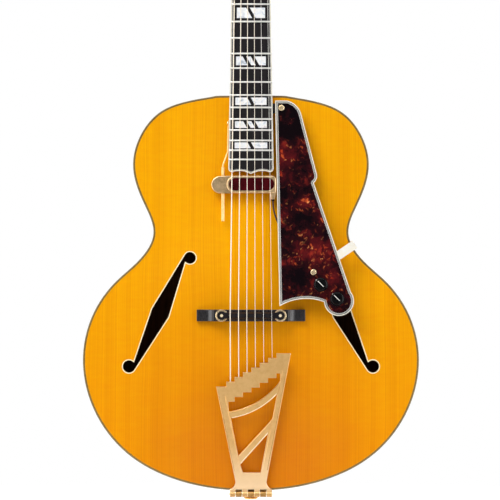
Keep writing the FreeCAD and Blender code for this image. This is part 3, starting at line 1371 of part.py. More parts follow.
def guard_screw_shapes(clearance=0):
    screws = [screw_shape(place, Vector(0, -1, 0), dim.guard_shank_radius, length,
                          dim.guard_screw_radius, 1.8, clearance)
              for place, length in zip(guard_screw_places(), (9, 6))]
    return placed(group(screws), GUARD)


def bracket_frame():
    """Frame of the support bracket: X along the bar toward the rib, under the pickguard."""
    place = GUARD.multVec(on_guard(dim.guard_screw_lower_across, dim.guard_screw_lower_station,
                                   -dim.guard_thickness))
    return Placement(place, Rotation(Vector(0, 1, 0), -dim.guard_bracket_slope))


def bracket_reach():
    """How far the rib lies from the bracket's screw, along the bar."""
    start = bracket_frame().Base
    heading = Vector(math.cos(math.radians(dim.guard_bracket_slope)), 0,
                     math.sin(math.radians(dim.guard_bracket_slope)))
    reach = 0
    half = dim.guard_bracket_width / 2
    across = Vector(-heading.z, 0, heading.x)
    for step in range(0, 2000):
        reach = step * 0.1
        corners = [start + heading * reach + across * half * side for side in (-1, 0, 1)]
        if all(abs(corner.x) > half_width(corner.z) + 0.3 for corner in corners):
            break
    return reach


def foot_screw_shape(clearance=0):
    """Screw through the bracket's foot into the rib."""
    reach = bracket_reach() + dim.guard_bracket_thickness
    place = Vector(reach, -bracket_frame().Base.y - dim.guard_bracket_end, 0)
    screw = screw_shape(place, Vector(1, 0, 0), 1.4, 9, 2.6, 1.4, clearance)
    return placed(screw, bracket_frame())


def make_pickguard():
    holes = [Part.makeCylinder(dim.collar_radius + dim.seat_fit, 20, place + Vector(0, -10, 0),
                               Vector(0, 1, 0)) for place in control_places().values()]
    holes.extend(Part.makeCylinder(dim.guard_shank_radius + dim.seat_fit, 20, place + Vector(0, -10, 0),
                                   Vector(0, 1, 0)) for place in guard_screw_places())
    keep("pickguard", guard_layer(GUARD_PLIES).cut(group(holes)), GUARD)
    edges = [0, dim.guard_outer_ply, dim.guard_outer_ply + dim.guard_dark_ply, GUARD_PLIES]
    plies = [guard_layer(outer).cut(guard_layer(inner, 1, 1)) for outer, inner in zip(edges, edges[1:])]
    keep("pickguard_binding", group(plies), GUARD)

    reach = bracket_reach()
    thick = dim.guard_bracket_thickness
    half = dim.guard_bracket_width / 2
    frame = bracket_frame()
    foot = -frame.Base.y - dim.guard_bracket_end + half
    bar = block(-7, reach + thick, 0.02, thick, -half, half)
    leg = block(reach, reach + thick, 0.02, foot, -half, half)
    bar_world = placed(joined(bar, leg), frame)
    guard_room = placed(guard_layer(0, 0, 20), GUARD)
    bracket = bar_world.cut(guard_room).cut(guard_screw_shapes(dim.seat_fit))
    keep("pickguard_bracket", bracket.cut(foot_screw_shape(dim.seat_fit)))

    upper = guard_screw_places()[0]
    side = board_half_width(JOINT + (dim.body_length - dim.guard_screw_upper_station)) - 0.5 + 0.02
    rest = block(side, upper.x + 5, dim.guard_thickness, dim.guard_thickness + 9, upper.z - 6, upper.z + 6)
    taper = placed(board_room_side(0), GUARD.inverse().multiply(NECK))
    keep("pickguard_block", placed(rest.cut(taper), GUARD).cut(guard_screw_shapes(dim.seat_fit)))
    keep("fitting_screws", group([guard_screw_shapes(), foot_screw_shape(), rod_screw_shape()]))

    pots = []
    for name, place in control_places().items():
        master = new_body(f"{name}_pot_master", listed=False)
        turn(master, f"{name}_pot_profile", [
            ("dim.shaft_radius + dim.running_fit", "-dim.pot_height - dim.guard_thickness + 2"),
            ("dim.shaft_radius + dim.running_fit", "0.4"), ("dim.collar_radius", "0.4"),
            ("dim.collar_radius", "-dim.guard_thickness - 0.02"),
            ("dim.pot_radius", "-dim.guard_thickness - 0.02"),
            ("dim.pot_radius", "-dim.guard_thickness - dim.pot_height"),
            ("0", "-dim.guard_thickness - dim.pot_height"),
            ("0", "-dim.pot_height - dim.guard_thickness + 2")])
        pots.append(placed(master.Shape, GUARD.multiply(Placement(place, TO_FRONT))))
    keep("potentiometers", group(pots))
    for name, place in control_places().items():
        make_knob(name, place)


def board_room_side(inset):
    """Space that the board or its extension takes up, in the neck's own frame."""
    face = board_outline(inset)
    face.translate(Vector(0, -10, 0))
    return face.extrude(Vector(0, 40, 0))


def make_knob(name, place):
    """Knob and its shaft: fluted skirt, white line groove from the centre to the rim."""
    knob = new_body(f"{name}_knob", GUARD.multiply(Placement(place, TO_FRONT)))
    low = "dim.knob_gap"
    top = "dim.knob_gap + dim.knob_height"
    turn(knob, f"{name}_knob_profile", [
        ("0", "-dim.guard_thickness - dim.pot_height + 2.4"),
        ("dim.shaft_radius", "-dim.guard_thickness - dim.pot_height + 2.4"), ("dim.shaft_radius", low),
        ("dim.knob_radius", low), ("dim.knob_radius", f"{low} + 1.6"),
        ("dim.knob_radius - 1.1", f"{low} + 2.4"), ("dim.knob_radius - 1.7", f"{top} - 1"),
        ("dim.knob_radius - 2.6", top), ("0", top)])
    flute = new_sketch(knob, f"{name}_flute", "XY_Plane", f"{low} + 2.6")
    draw_circle(flute, "dim.knob_radius - 0.6", "0", "0.8")
    cut = pocket(knob, flute, "dim.knob_height", True)
    around(knob, cut, "18")
    groove = new_sketch(knob, f"{name}_pointer", "XY_Plane", top)
    turned = "sqrt(0.5)"
    inner = f"{turned}*1.2"
    outer = f"{turned}*(dim.knob_radius + 1)"
    half = f"{turned}*0.45"
    draw_outline(groove, [
        (f"-{inner} - {half}", f"{inner} - {half}"), (f"-{inner} + {half}", f"{inner} + {half}"),
        (f"-{outer} + {half}", f"{outer} + {half}"), (f"-{outer} - {half}", f"{outer} - {half}")])
    pocket(knob, groove, "0.4")


# Pickup: its own frame lies parallel to the strings, with its origin under them at the case's centre

PICKUP_LEVEL = NECK.multVec(Vector(0, 0, -dim.scale_length * 0.733)).y
PICKUP = Placement(Vector(0, PICKUP_LEVEL, dim.pickup_station), Rotation(Vector(1, 0, 0), -dim.neck_pitch))


def make_pickup():
    case = new_body("pickup_case", PICKUP)
    flange = new_sketch(case, "pickup_flange", "XZ_Plane", "-dim.pickup_height")
    half = "dim.pickup_depth/2"
    lobe = "-dim.pickup_depth/2 - dim.lobe_drop"
    draw_outline(flange, [
        (f"dim.pickup_left + {half}", f"-{half}"), ("dim.lobe_left", f"-{half}"),
        ("dim.lobe_left + 1.4", lobe), ("dim.lobe_right - 1.4", lobe), ("dim.lobe_right", f"-{half}"),
        ("dim.pickup_right", f"{half} - 3"),
        ("dim.pickup_right - 3", half), (f"dim.pickup_left + {half}", half, ("dim.pickup_left", "0"))])
    pad(case, flange, "dim.pickup_base_height")
    raised = new_sketch(case, "pickup_raised", "XZ_Plane", "-dim.pickup_height + dim.pickup_base_height - 1")
    draw_outline(raised, [
        (f"dim.pickup_case_left + {half}", f"-{half}"), ("dim.pickup_right", f"-{half}"),
        ("dim.pickup_right", f"{half} - 3"), ("dim.pickup_right - 3", half),
        (f"dim.pickup_case_left + {half}", half, ("dim.pickup_case_left", "0"))])
    pad(case, raised, "dim.pickup_height - dim.pickup_base_height + 1")
    window = new_sketch(case, "pickup_window")
    coil_outline(window, "0")
    pocket(case, window, "dim.coil_sink")
    bore = new_sketch(case, "pickup_bore", "XY_Plane", "-dim.pickup_depth")
    draw_circle(bore, "dim.rod_across", "dim.pickup_height - dim.pickup_base_height/2",
                "dim.rod_radius + dim.running_fit")
    pocket(case, bore, "dim.pickup_depth*2", True)

    coil = new_body("pickup_coil", PICKUP)
    sketch = new_sketch(coil, "coil_top", "XZ_Plane", "-dim.coil_sink + 0.02")
    coil_outline(sketch, "dim.seat_fit")
    pad(coil, sketch, "dim.coil_sink + dim.coil_show")

    make_rod()


def coil_outline(sketch, fit):
    half = f"(dim.coil_depth/2 - {fit})"
    draw_outline(sketch, [
        (f"dim.coil_left + {half}", f"-{half}"),
        (f"dim.coil_right - {half}", f"-{half}", (f"dim.coil_right - {fit}", "0")),
        (f"dim.coil_right - {half}", half),
        (f"dim.coil_left + {half}", half, (f"dim.coil_left + {fit}", "0"))])


def rod_places():
    """Corners of the rod's stem, from the guide up to the tab on the neck's side, in the pickup's frame."""
    depth = dim.pickup_height - dim.pickup_base_height / 2
    side_depth = dim.board_thickness + dim.extension_thickness / 2
    low = dim.stem_bend + 8
    return [Vector(dim.rod_across, depth, dim.rod_high - dim.pickup_station),
            Vector(dim.rod_across, depth, dim.rod_high - dim.pickup_station + 3),
            Vector(-neck_side(low) - dim.stem_radius - 0.3, side_depth, low - dim.pickup_station),
            Vector(-neck_side(dim.stem_high) - dim.stem_radius - 0.02, side_depth,
                   dim.stem_high - dim.pickup_station)]


def neck_side(station):
    """Half width of the board's extension at a place over the body."""
    return board_half_width((NECK.Base.z - station) / math.cos(SLOPE)) - dim.extension_inset


def rod_screw_shape(clearance=0):
    """Screw that holds the rod's tab to the side of the neck."""
    top = rod_places()[-1]
    place = Vector(top.x + dim.stem_radius - dim.tab_thickness, top.y, top.z + 3)
    return placed(screw_shape(place, Vector(-1, 0, 0), 1.1, 8, 2.1, 1.2, clearance), PICKUP)


def make_rod():
    low, bend, high, top = rod_places()
    guide = Part.makeCylinder(dim.rod_radius, dim.rod_high - dim.rod_low,
                              Vector(low.x, low.y, dim.rod_low - dim.pickup_station))
    stem = pipe(rounded_edges([low - Vector(0, 0, 3), bend, high, top], 8), dim.stem_radius)
    inner = top.x + dim.stem_radius
    tab = block(inner - dim.tab_thickness, inner, top.y - 2.8, top.y + 2.8, top.z - 2, top.z + 6.5)
    tab = tab.cut(placed(board_room_side(dim.extension_inset - 0.02), PICKUP.inverse().multiply(NECK)))
    rod = placed(joined(guide, stem, tab), PICKUP)
    keep("pickup_rod", rod.cut(rod_screw_shape(dim.seat_fit)))

    start = PICKUP.multVec(Vector((dim.lobe_left + dim.lobe_right) / 2, dim.pickup_height - 2.4,
                                  -dim.pickup_depth / 2 - dim.lobe_drop - 0.05))
    pot = GUARD.multVec(control_places()["volume"] + Vector(0, dim.guard_thickness + dim.pot_height / 2, 0))
    under = dim.guard_thickness + dim.pot_height / 2
    turn_in = GUARD.multVec(on_guard(31, 352, -under))
    along = GUARD.multVec(on_guard(60, 290, -under))
    toward = (pot - along).normalize()
    end = pot - toward * (dim.pot_radius + 0.05)
    drop = start - PICKUP.Rotation.multVec(Vector(0, 0, 8))
    lead = pipe(rounded_edges([start, drop, turn_in, along, end], 6), dim.lead_radius)
    keep("pickup_lead", lead)


def check_and_write():
    doc.recompute()
    os.makedirs("parts", exist_ok=True)
    for piece in doc.Objects:
        if "Invalid" in piece.State or "Error" in piece.State:
            raise RuntimeError(f"{piece.Label} has state {piece.State}")
    for piece in pieces:
        shape = piece.Shape
        if shape.isNull() or not shape.isValid() or not shape.Solids:
            raise RuntimeError(f"{piece.Label} has no valid solid")
        shape.exportStep(f"parts/{piece.Label}.step")
        print(f"{piece.Label}: {len(shape.Solids)} solids, {shape.Volume / 1000:.2f} cm3")
    print(f"{len(pieces)} pieces")


make_body()
make_neck()
make_fingerboard()
make_nut()
make_headstock()
make_tuners()
make_strings()
make_bridge()
make_tailpiece()
make_tail_fittings()
make_pickguard()
make_pickup()
check_and_write()
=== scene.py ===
import math

import bmesh
import bpy
from mathutils import Matrix, Vector
from mathutils.bvhtree import BVHTree


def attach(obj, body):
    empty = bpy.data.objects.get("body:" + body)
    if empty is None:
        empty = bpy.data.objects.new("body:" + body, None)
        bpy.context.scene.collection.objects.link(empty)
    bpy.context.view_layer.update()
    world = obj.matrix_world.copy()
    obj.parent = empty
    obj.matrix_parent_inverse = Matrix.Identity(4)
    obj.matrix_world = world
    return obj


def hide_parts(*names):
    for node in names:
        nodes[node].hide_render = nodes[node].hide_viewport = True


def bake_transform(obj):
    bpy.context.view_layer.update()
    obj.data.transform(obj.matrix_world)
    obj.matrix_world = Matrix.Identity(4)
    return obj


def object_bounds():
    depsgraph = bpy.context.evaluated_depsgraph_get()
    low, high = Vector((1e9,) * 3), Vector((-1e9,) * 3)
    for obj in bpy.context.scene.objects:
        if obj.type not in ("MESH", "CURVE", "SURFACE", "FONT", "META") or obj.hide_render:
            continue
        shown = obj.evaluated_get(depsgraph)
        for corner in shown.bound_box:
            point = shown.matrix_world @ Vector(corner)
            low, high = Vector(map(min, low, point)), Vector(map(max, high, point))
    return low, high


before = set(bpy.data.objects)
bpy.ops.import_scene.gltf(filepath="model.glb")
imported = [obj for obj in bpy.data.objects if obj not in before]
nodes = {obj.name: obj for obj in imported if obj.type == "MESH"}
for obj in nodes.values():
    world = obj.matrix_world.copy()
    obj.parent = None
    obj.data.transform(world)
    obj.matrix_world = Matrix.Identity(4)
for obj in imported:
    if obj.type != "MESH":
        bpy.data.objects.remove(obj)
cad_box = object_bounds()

MM = 0.001


# Camera: straight at the front, far back, with the photograph's 500 pixels across 641 mm of the body

VIEW_WIDTH = 640.75 * MM
VIEW_CENTRE = Vector((-1.2 * MM, -55 * MM, 309.5 * MM))
CAMERA_BACK = 5.0
SENSOR = 36


def place_camera():
    """A long lens, so that near and far parts of the guitar keep almost the same scale."""
    lens = bpy.data.cameras.new("front_camera")
    lens.sensor_width = SENSOR
    lens.lens = SENSOR * CAMERA_BACK / VIEW_WIDTH
    lens.clip_end = 40
    camera = bpy.data.objects.new("front_camera", lens)
    camera.location = VIEW_CENTRE + Vector((0, -CAMERA_BACK, 0))
    camera.rotation_euler = (math.pi / 2, 0, 0)
    bpy.context.collection.objects.link(camera)
    bpy.context.scene.camera = camera


def linear(code):
    """An sRGB hex colour as linear red, green, blue and alpha."""
    parts = [int(code[at:at + 2], 16) / 255 for at in (1, 3, 5)]
    return [part / 12.92 if part <= 0.04045 else ((part + 0.055) / 1.055) ** 2.4 for part in parts] + [1]


def add(tree, kind, inputs=None, stops=None, **settings):
    """Adds a node: settings are its own choices, inputs are values or the nodes that feed it, and stops are a ramp's
    places and colours."""
    made = tree.nodes.new("ShaderNode" + kind)
    for name, value in settings.items():
        setattr(made, name, value)
    if stops:
        ramp = made.color_ramp.elements
        while len(ramp) < len(stops):
            ramp.new(1)
        for element, (place, code) in zip(ramp, stops):
            element.position = place
            element.color = linear(code)
    for name, value in (inputs or {}).items():
        open_sockets = [socket for socket in made.inputs if socket.enabled and name in (socket.name, socket.identifier)]
        socket = made.inputs[name] if isinstance(name, int) else open_sockets[0]
        if isinstance(value, bpy.types.Node):
            value = next(output for output in value.outputs if output.enabled)
        if isinstance(value, bpy.types.NodeSocket):
            tree.links.new(value, socket)
        else:
            socket.default_value = value
    return made


def start(name, **constants):
    """A new material with constant shader values; gives it, its tree, its shader and the piece's own coordinates."""
    made = bpy.data.materials.new(name)
    made.use_nodes = True
    tree = made.node_tree
    shader = tree.nodes["Principled BSDF"]
    for socket, value in constants.items():
        shader.inputs[socket.replace("_", " ").title().replace("Ior", "IOR")].default_value = value
    place = add(tree, "TexCoord").outputs["Object"]
    return made, tree, shader, place


def per(size_mm):
    """Pattern scale whose features are this many millimetres across."""
    return 1 / (size_mm * MM)


# Woods


def spruce_amber_lacquer():
    """Carved spruce, two boards opened like a book, under rubbed amber lacquer: straight fine growth lines that
    tighten and open in bands, a faint cross-grain shimmer and a thin wet gloss. The orange deepens toward the tail
    and the middle, with some random clouding: painted shade where the lower arch turns away from the light."""
    made, tree, shader, place = start("spruce_amber_lacquer", roughness=0.42, specular_ior_level=0.05,
                                      coat_weight=0.12, coat_roughness=0.06, coat_ior=1.45)
    axes = add(tree, "SeparateXYZ", {"Vector": place})
    from_seam = add(tree, "Math", {0: axes.outputs["X"]}, operation="ABSOLUTE")
    drift = add(tree, "TexNoise", {"Vector": place, "Scale": per(240), "Detail": 2})
    across = add(tree, "Math", {0: drift, 1: 16 * MM, 2: from_seam}, operation="MULTIPLY_ADD")
    # growth lines are 1 mm apart on the real top; drawn 2 mm apart so that they show
    lines = add(tree, "TexNoise", {"W": across, "Scale": per(2), "Detail": 2, "Roughness": 0.55}, noise_dimensions="1D")
    bands = add(tree, "TexNoise", {"W": across, "Scale": per(23), "Detail": 2}, noise_dimensions="1D")
    grain = add(tree, "MixRGB", {"Fac": 0.45, "Color1": lines, "Color2": bands})
    wood = add(tree, "ValToRGB", {"Fac": grain}, stops=[(0.32, "#EA9A00"), (0.5, "#F2A500"), (0.7, "#F8AF00")])
    shimmer_place = add(tree, "Mapping", {"Vector": place, "Scale": (per(18), per(18), per(4))})
    shimmer = add(tree, "TexNoise", {"Vector": shimmer_place, "Scale": 1, "Detail": 3})
    silked = add(tree, "MixRGB", {"Fac": 0.1, "Color1": wood, "Color2": shimmer}, blend_type="OVERLAY")
    # painted shade: a deeper orange toward the tail and toward the seam, where the carved arch turns away from the
    # light; the cloud adds random tone
    height = add(tree, "MapRange", {"Value": axes.outputs["Z"], "From Min": 330 * MM, "From Max": 60 * MM})
    middle = add(tree, "MapRange", {"Value": from_seam, "From Min": 50 * MM, "From Max": 200 * MM, "To Min": 0.6,
                                    "To Max": 0.3}, interpolation_type="SMOOTHSTEP")
    cloud = add(tree, "TexNoise", {"Vector": place, "Scale": per(150), "Detail": 2})
    patchy = add(tree, "Math", {0: cloud, 1: 0.24, 2: middle}, operation="MULTIPLY_ADD")
    arch_shade_painted = add(tree, "Math", {0: height, 1: patchy}, operation="MULTIPLY")
    colour = add(tree, "MixRGB", {"Fac": arch_shade_painted, "Color1": silked, "Color2": linear("#D49D00")},
                 blend_type="MULTIPLY")
    tree.links.new(colour.outputs[0], shader.inputs["Base Color"])
    relief = add(tree, "Bump", {"Height": lines, "Strength": 0.04, "Distance": 0.1 * MM})
    tree.links.new(relief.outputs[0], shader.inputs["Normal"])
    return made


def flame_maple_amber_lacquer(name, stripes):
    """Curly maple under amber lacquer: bands of light and dark cross the grain where the fibres wave. The bands run
    across stripes: slanted from the seam on the back, round the outline on the ribs, straight across on the neck."""
    made, tree, shader, place = start(name, roughness=0.34, specular_ior_level=0.35, coat_weight=0.5,
                                      coat_roughness=0.05, coat_ior=1.45)
    axes = add(tree, "SeparateXYZ", {"Vector": place})
    if stripes == "ribs":
        level = add(tree, "Math", {0: axes.outputs["Z"], 1: 240 * MM}, operation="SUBTRACT")
        turn = add(tree, "Math", {0: level, 1: axes.outputs["X"]}, operation="ARCTAN2")
        along = add(tree, "Math", {0: turn, 1: 220 * MM}, operation="MULTIPLY")
    else:
        side = add(tree, "Math", {0: axes.outputs["X"]}, operation="ABSOLUTE")
        slant = 0.3 if stripes == "back" else 0.08
        along = add(tree, "Math", {0: side, 1: slant, 2: axes.outputs["Z"]}, operation="MULTIPLY_ADD")
    wander = add(tree, "TexNoise", {"Vector": place, "Scale": per(38), "Detail": 3})
    waved = add(tree, "Math", {0: wander, 1: 11 * MM, 2: along}, operation="MULTIPLY_ADD")
    flames = add(tree, "TexNoise", {"W": waved, "Scale": per(7.5), "Detail": 0.6}, noise_dimensions="1D")
    patch_place = add(tree, "Mapping", {"Vector": place, "Scale": (per(26), per(26), per(70))})
    patches = add(tree, "TexNoise", {"Vector": patch_place, "Scale": 1, "Detail": 2})
    strength = add(tree, "MapRange", {"Value": patches, "From Min": 0.34, "From Max": 0.6,
                                      "To Min": 0.25, "To Max": 1})
    grain_place = add(tree, "Mapping", {"Vector": place, "Scale": (per(1.8), per(1.8), per(60))})
    grain = add(tree, "TexNoise", {"Vector": grain_place, "Scale": 1, "Detail": 3})
    bands = add(tree, "ValToRGB", {"Fac": flames}, stops=[(0.34, "#A8620C"), (0.5, "#C87C12"), (0.66, "#E29C30")])
    wood = add(tree, "MixRGB", {"Fac": strength, "Color1": linear("#CB8118"), "Color2": bands})
    colour = add(tree, "MixRGB", {"Fac": 0.22, "Color1": wood, "Color2": grain}, blend_type="OVERLAY")
    tree.links.new(colour.outputs[0], shader.inputs["Base Color"])
    relief = add(tree, "Bump", {"Height": flames, "Strength": 0.06, "Distance": 0.2 * MM})
    tree.links.new(relief.outputs[0], shader.inputs["Normal"])
    return made


def inner_wood_shade_painted():
    """Planed, unfinished spruce and maple inside the box, with plain long grain: a dull brown far darker than bare
    wood, which is painted shade of the closed box.
    """
    made, tree, shader, place = start("inner_wood_shade_painted", roughness=0.85, specular_ior_level=0.2)
    long_grain = add(tree, "Mapping", {"Vector": place, "Scale": (per(3), per(3), per(90))})
    grain = add(tree, "TexNoise", {"Vector": long_grain, "Scale": 1, "Detail": 4})
    # painted shade: dark browns stand for the shade inside the closed box, in place of pale bare wood
    colour = add(tree, "ValToRGB", {"Fac": grain}, stops=[(0.3, "#4C2412"), (0.7, "#66371C")])
    tree.links.new(colour.outputs[0], shader.inputs["Base Color"])
    relief = add(tree, "Bump", {"Height": grain, "Strength": 0.2, "Distance": 0.2 * MM})
    tree.links.new(relief.outputs[0], shader.inputs["Normal"])
    return made


def oiled_ebony(name, gloss, shine):
    """Ebony: near black, with brown streaks and short open pores along the grain; scraped and oiled, or lacquered."""
    made, tree, shader, place = start(name, roughness=0.5 - 0.4 * gloss, specular_ior_level=shine,
                                      coat_weight=0.2 * gloss, coat_roughness=0.06)
    streak_place = add(tree, "Mapping", {"Vector": place, "Scale": (per(3.5), per(3.5), per(70))})
    streaks = add(tree, "TexNoise", {"Vector": streak_place, "Scale": 1, "Detail": 3})
    pore_place = add(tree, "Mapping", {"Vector": place, "Scale": (per(0.6), per(0.6), per(6))})
    pores = add(tree, "TexNoise", {"Vector": pore_place, "Scale": 1, "Detail": 2})
    wood = add(tree, "ValToRGB", {"Fac": streaks}, stops=[(0.35, "#131114"), (0.6, "#1B171A"), (0.8, "#2C231F")])
    tree.links.new(wood.outputs[0], shader.inputs["Base Color"])
    sheen = add(tree, "MapRange", {"Value": pores, "To Min": 0.42 - 0.36 * gloss, "To Max": 0.6 - 0.4 * gloss})
    tree.links.new(sheen.outputs[0], shader.inputs["Roughness"])
    relief = add(tree, "Bump", {"Height": pores, "Strength": 0.12 * (1 - gloss) + 0.01, "Distance": 0.1 * MM})
    tree.links.new(relief.outputs[0], shader.inputs["Normal"])
    return made


# Plastics, shell and bone


def celluloid_ply(name, pale, deep):
    """Bent celluloid strip, scraped flush and lacquered over: almost even colour, a little yellowed in patches."""
    made, tree, shader, place = start(name, roughness=0.3, specular_ior_level=0.4, coat_weight=0.2, coat_roughness=0.1)
    patches = add(tree, "TexNoise", {"Vector": place, "Scale": per(14), "Detail": 3})
    colour = add(tree, "ValToRGB", {"Fac": patches}, stops=[(0.3, deep), (0.7, pale)])
    tree.links.new(colour.outputs[0], shader.inputs["Base Color"])
    scrape = add(tree, "TexNoise", {"Vector": place, "Scale": per(1.5), "Detail": 2})
    relief = add(tree, "Bump", {"Height": scrape, "Strength": 0.04, "Distance": 0.1 * MM})
    tree.links.new(relief.outputs[0], shader.inputs["Normal"])
    return made


def laminated_ply():
    """Black and white celluloid veneers glued into one strip, seen edge on as thin lines: grey from a step away."""
    made, tree, shader, place = start("laminated_ply", roughness=0.3, specular_ior_level=0.4)
    across = add(tree, "Attribute", attribute_name="ply_depth")
    lines = add(tree, "ValToRGB", {"Fac": across.outputs["Fac"]},
                stops=[(0.0, "#D9D8D2"), (0.2, "#17161A"), (0.4, "#D9D8D2"), (0.6, "#17161A"), (0.8, "#E6E4DC")])
    lines.color_ramp.interpolation = "CONSTANT"
    patches = add(tree, "TexNoise", {"Vector": place, "Scale": per(9), "Detail": 2})
    colour = add(tree, "MixRGB", {"Fac": 0.15, "Color1": lines, "Color2": patches}, blend_type="OVERLAY")
    tree.links.new(colour.outputs[0], shader.inputs["Base Color"])
    return made


def tortoiseshell_celluloid():
    """Cast celluloid sheet, polished: a near-black red ground with drifting red-brown clouds, dull red dabs, and small
    ragged amber flecks that gather inside the clouds."""
    made, tree, shader, place = start("tortoiseshell_celluloid", roughness=0.12, specular_ior_level=0.1,
                                      coat_weight=0.08, coat_roughness=0.03)
    drift = add(tree, "TexNoise", {"Vector": place, "Scale": per(11), "Detail": 4, "Roughness": 0.65})
    pulled = add(tree, "MixRGB", {"Fac": 0.0075, "Color1": place, "Color2": drift.outputs["Color"]},
                 blend_type="LINEAR_LIGHT")
    clouds = add(tree, "TexNoise", {"Vector": pulled, "Scale": per(36), "Detail": 4, "Roughness": 0.6})
    colour = add(tree, "ValToRGB", {"Fac": clouds},
                 stops=[(0.40, "#0B0206"), (0.50, "#26060C"), (0.60, "#4C0E13"), (0.72, "#701C1A")])
    gathered = add(tree, "MapRange", {"Value": clouds, "From Min": 0.44, "From Max": 0.6})
    # dabs, then two lays of flecks: width, length and slant of a cell, share of cells left out, dark and light colours
    for wide, long, slant, left_out, dark, pale in ((7, 11, 0.5, 0.5, "#4A0C10", "#92281E"),
                                                    (2.8, 6.4, -0.7, 0.8, "#8A2014", "#E86A34"),
                                                    (2.2, 5, 0.8, 0.86, "#B03A1C", "#FFAE66")):
        cell_place = add(tree, "Mapping", {"Vector": pulled, "Rotation": (0, slant, 0),
                                           "Scale": (wide * MM, long * MM, long * MM)}, vector_type="TEXTURE")
        cells = add(tree, "TexVoronoi", {"Vector": cell_place, "Scale": 1})
        chance = add(tree, "SeparateColor", {"Color": cells.outputs["Color"]})
        chosen = add(tree, "MapRange", {"Value": chance.outputs["Red"], "From Min": left_out,
                                        "From Max": left_out + 0.1})
        inside = add(tree, "MapRange", {"Value": cells.outputs["Distance"], "From Min": 0.6, "From Max": 0.2})
        shape = add(tree, "Math", {0: chosen, 1: inside}, operation="MULTIPLY")
        mask = add(tree, "Math", {0: shape, 1: gathered}, operation="MULTIPLY")
        tint = add(tree, "ValToRGB", {"Fac": chance.outputs["Green"]}, stops=[(0.2, dark), (1.0, pale)])
        colour = add(tree, "MixRGB", {"Fac": mask, "Color1": colour, "Color2": tint})
    tree.links.new(colour.outputs[0], shader.inputs["Base Color"])
    return made


def pearl_shell():
    """Ground and polished mother-of-pearl: milky white that slides to blue-grey and rose along its growth layers."""
    made, tree, shader, place = start("pearl_shell", roughness=0.18, specular_ior_level=0.6, coat_weight=0.4,
                                      coat_roughness=0.05)
    drift = add(tree, "TexNoise", {"Vector": place, "Scale": per(16), "Detail": 2})
    layers_place = add(tree, "MixRGB", {"Fac": 0.02, "Color1": place, "Color2": drift.outputs["Color"]},
                       blend_type="LINEAR_LIGHT")
    layers = add(tree, "TexNoise", {"Vector": layers_place, "Scale": per(7), "Detail": 3, "Roughness": 0.6})
    colour = add(tree, "ValToRGB", {"Fac": layers},
                 stops=[(0.30, "#B4BECA"), (0.45, "#ECEFF5"), (0.58, "#FBFAF8"), (0.72, "#DED6DA")])
    tree.links.new(colour.outputs[0], shader.inputs["Base Color"])
    return made


def polished_bone():
    """Bleached cow bone, filed and polished: warm white with fine darker pores along its length."""
    made, tree, shader, place = start("polished_bone", roughness=0.28, specular_ior_level=0.45)
    pore_place = add(tree, "Mapping", {"Vector": place, "Scale": (per(4), per(0.7), per(0.7))})
    pores = add(tree, "TexNoise", {"Vector": pore_place, "Scale": 1, "Detail": 3})
    colour = add(tree, "ValToRGB", {"Fac": pores}, stops=[(0.3, "#D9CDB2"), (0.5, "#EFE8D6")])
    tree.links.new(colour.outputs[0], shader.inputs["Base Color"])
    return made


def moulded_plastic(name, pale, deep, gloss):
    """Injection-moulded plastic: one colour with slight flow clouds, a fine even skin and soft highlights."""
    made, tree, shader, place = start(name, roughness=0.3, specular_ior_level=0.08)
    flow = add(tree, "TexNoise", {"Vector": place, "Scale": per(8), "Detail": 2})
    colour = add(tree, "ValToRGB", {"Fac": flow}, stops=[(0.3, deep), (0.7, pale)])
    tree.links.new(colour.outputs[0], shader.inputs["Base Color"])
    texture = add(tree, "TexNoise", {"Vector": place, "Scale": per(0.5), "Detail": 1})
    rough = add(tree, "MapRange", {"Value": texture, "To Min": gloss, "To Max": gloss + 0.12})
    tree.links.new(rough.outputs[0], shader.inputs["Roughness"])
    relief = add(tree, "Bump", {"Height": texture, "Strength": 0.04, "Distance": 0.05 * MM})
    tree.links.new(relief.outputs[0], shader.inputs["Normal"])
    return made


# Metals


def plated_gold(name, pale, deep, rough, brush, metallic=1.0, paler_below_mm=None):
    """Gold plate over brushed or buffed metal: soft stretched highlights, thinner and duller in small worn patches
    where hands and strings touch it, and paler below a given height, down toward the hinge. Less metallic where a
    clouded film of old lacquer scatters the light; the two palest copies are painted glare and painted highlight."""
    made, tree, shader, place = start(name, metallic=metallic, roughness=rough)
    marks = add(tree, "TexNoise", {"Vector": place, "Scale": per(7), "Detail": 5, "Roughness": 0.7})
    colour = add(tree, "ValToRGB", {"Fac": marks}, stops=[(0.34, deep), (0.62, pale)])
    # below the given height and clear of the hinge, the plate is mixed to a paler gold
    if paler_below_mm:
        height = add(tree, "SeparateXYZ", {"Vector": place}).outputs["Z"]
        below = add(tree, "MapRange", {"Value": height, "From Min": paler_below_mm * MM, "From Max": 5 * MM,
                                       "To Max": 0.7})
        clear_of_hinge = add(tree, "MapRange", {"Value": height, "From Min": -3 * MM, "From Max": 5 * MM})
        rubbed = add(tree, "Math", {0: below, 1: clear_of_hinge}, operation="MULTIPLY")
        colour = add(tree, "MixRGB", {"Fac": rubbed, "Color1": colour, "Color2": linear("#FBE2BC")})
    tree.links.new(colour.outputs[0], shader.inputs["Base Color"])
    brushed_place = add(tree, "Mapping", {"Vector": place, "Scale": (per(0.5), per(0.5), per(9))})
    brushed = add(tree, "TexNoise", {"Vector": brushed_place, "Scale": 1, "Detail": 2})
    spread = add(tree, "MapRange", {"Value": brushed, "To Min": rough - 0.06, "To Max": rough + 0.1})
    tree.links.new(spread.outputs[0], shader.inputs["Roughness"])
    relief = add(tree, "Bump", {"Height": brushed, "Strength": brush, "Distance": 0.05 * MM})
    tree.links.new(relief.outputs[0], shader.inputs["Normal"])
    return made


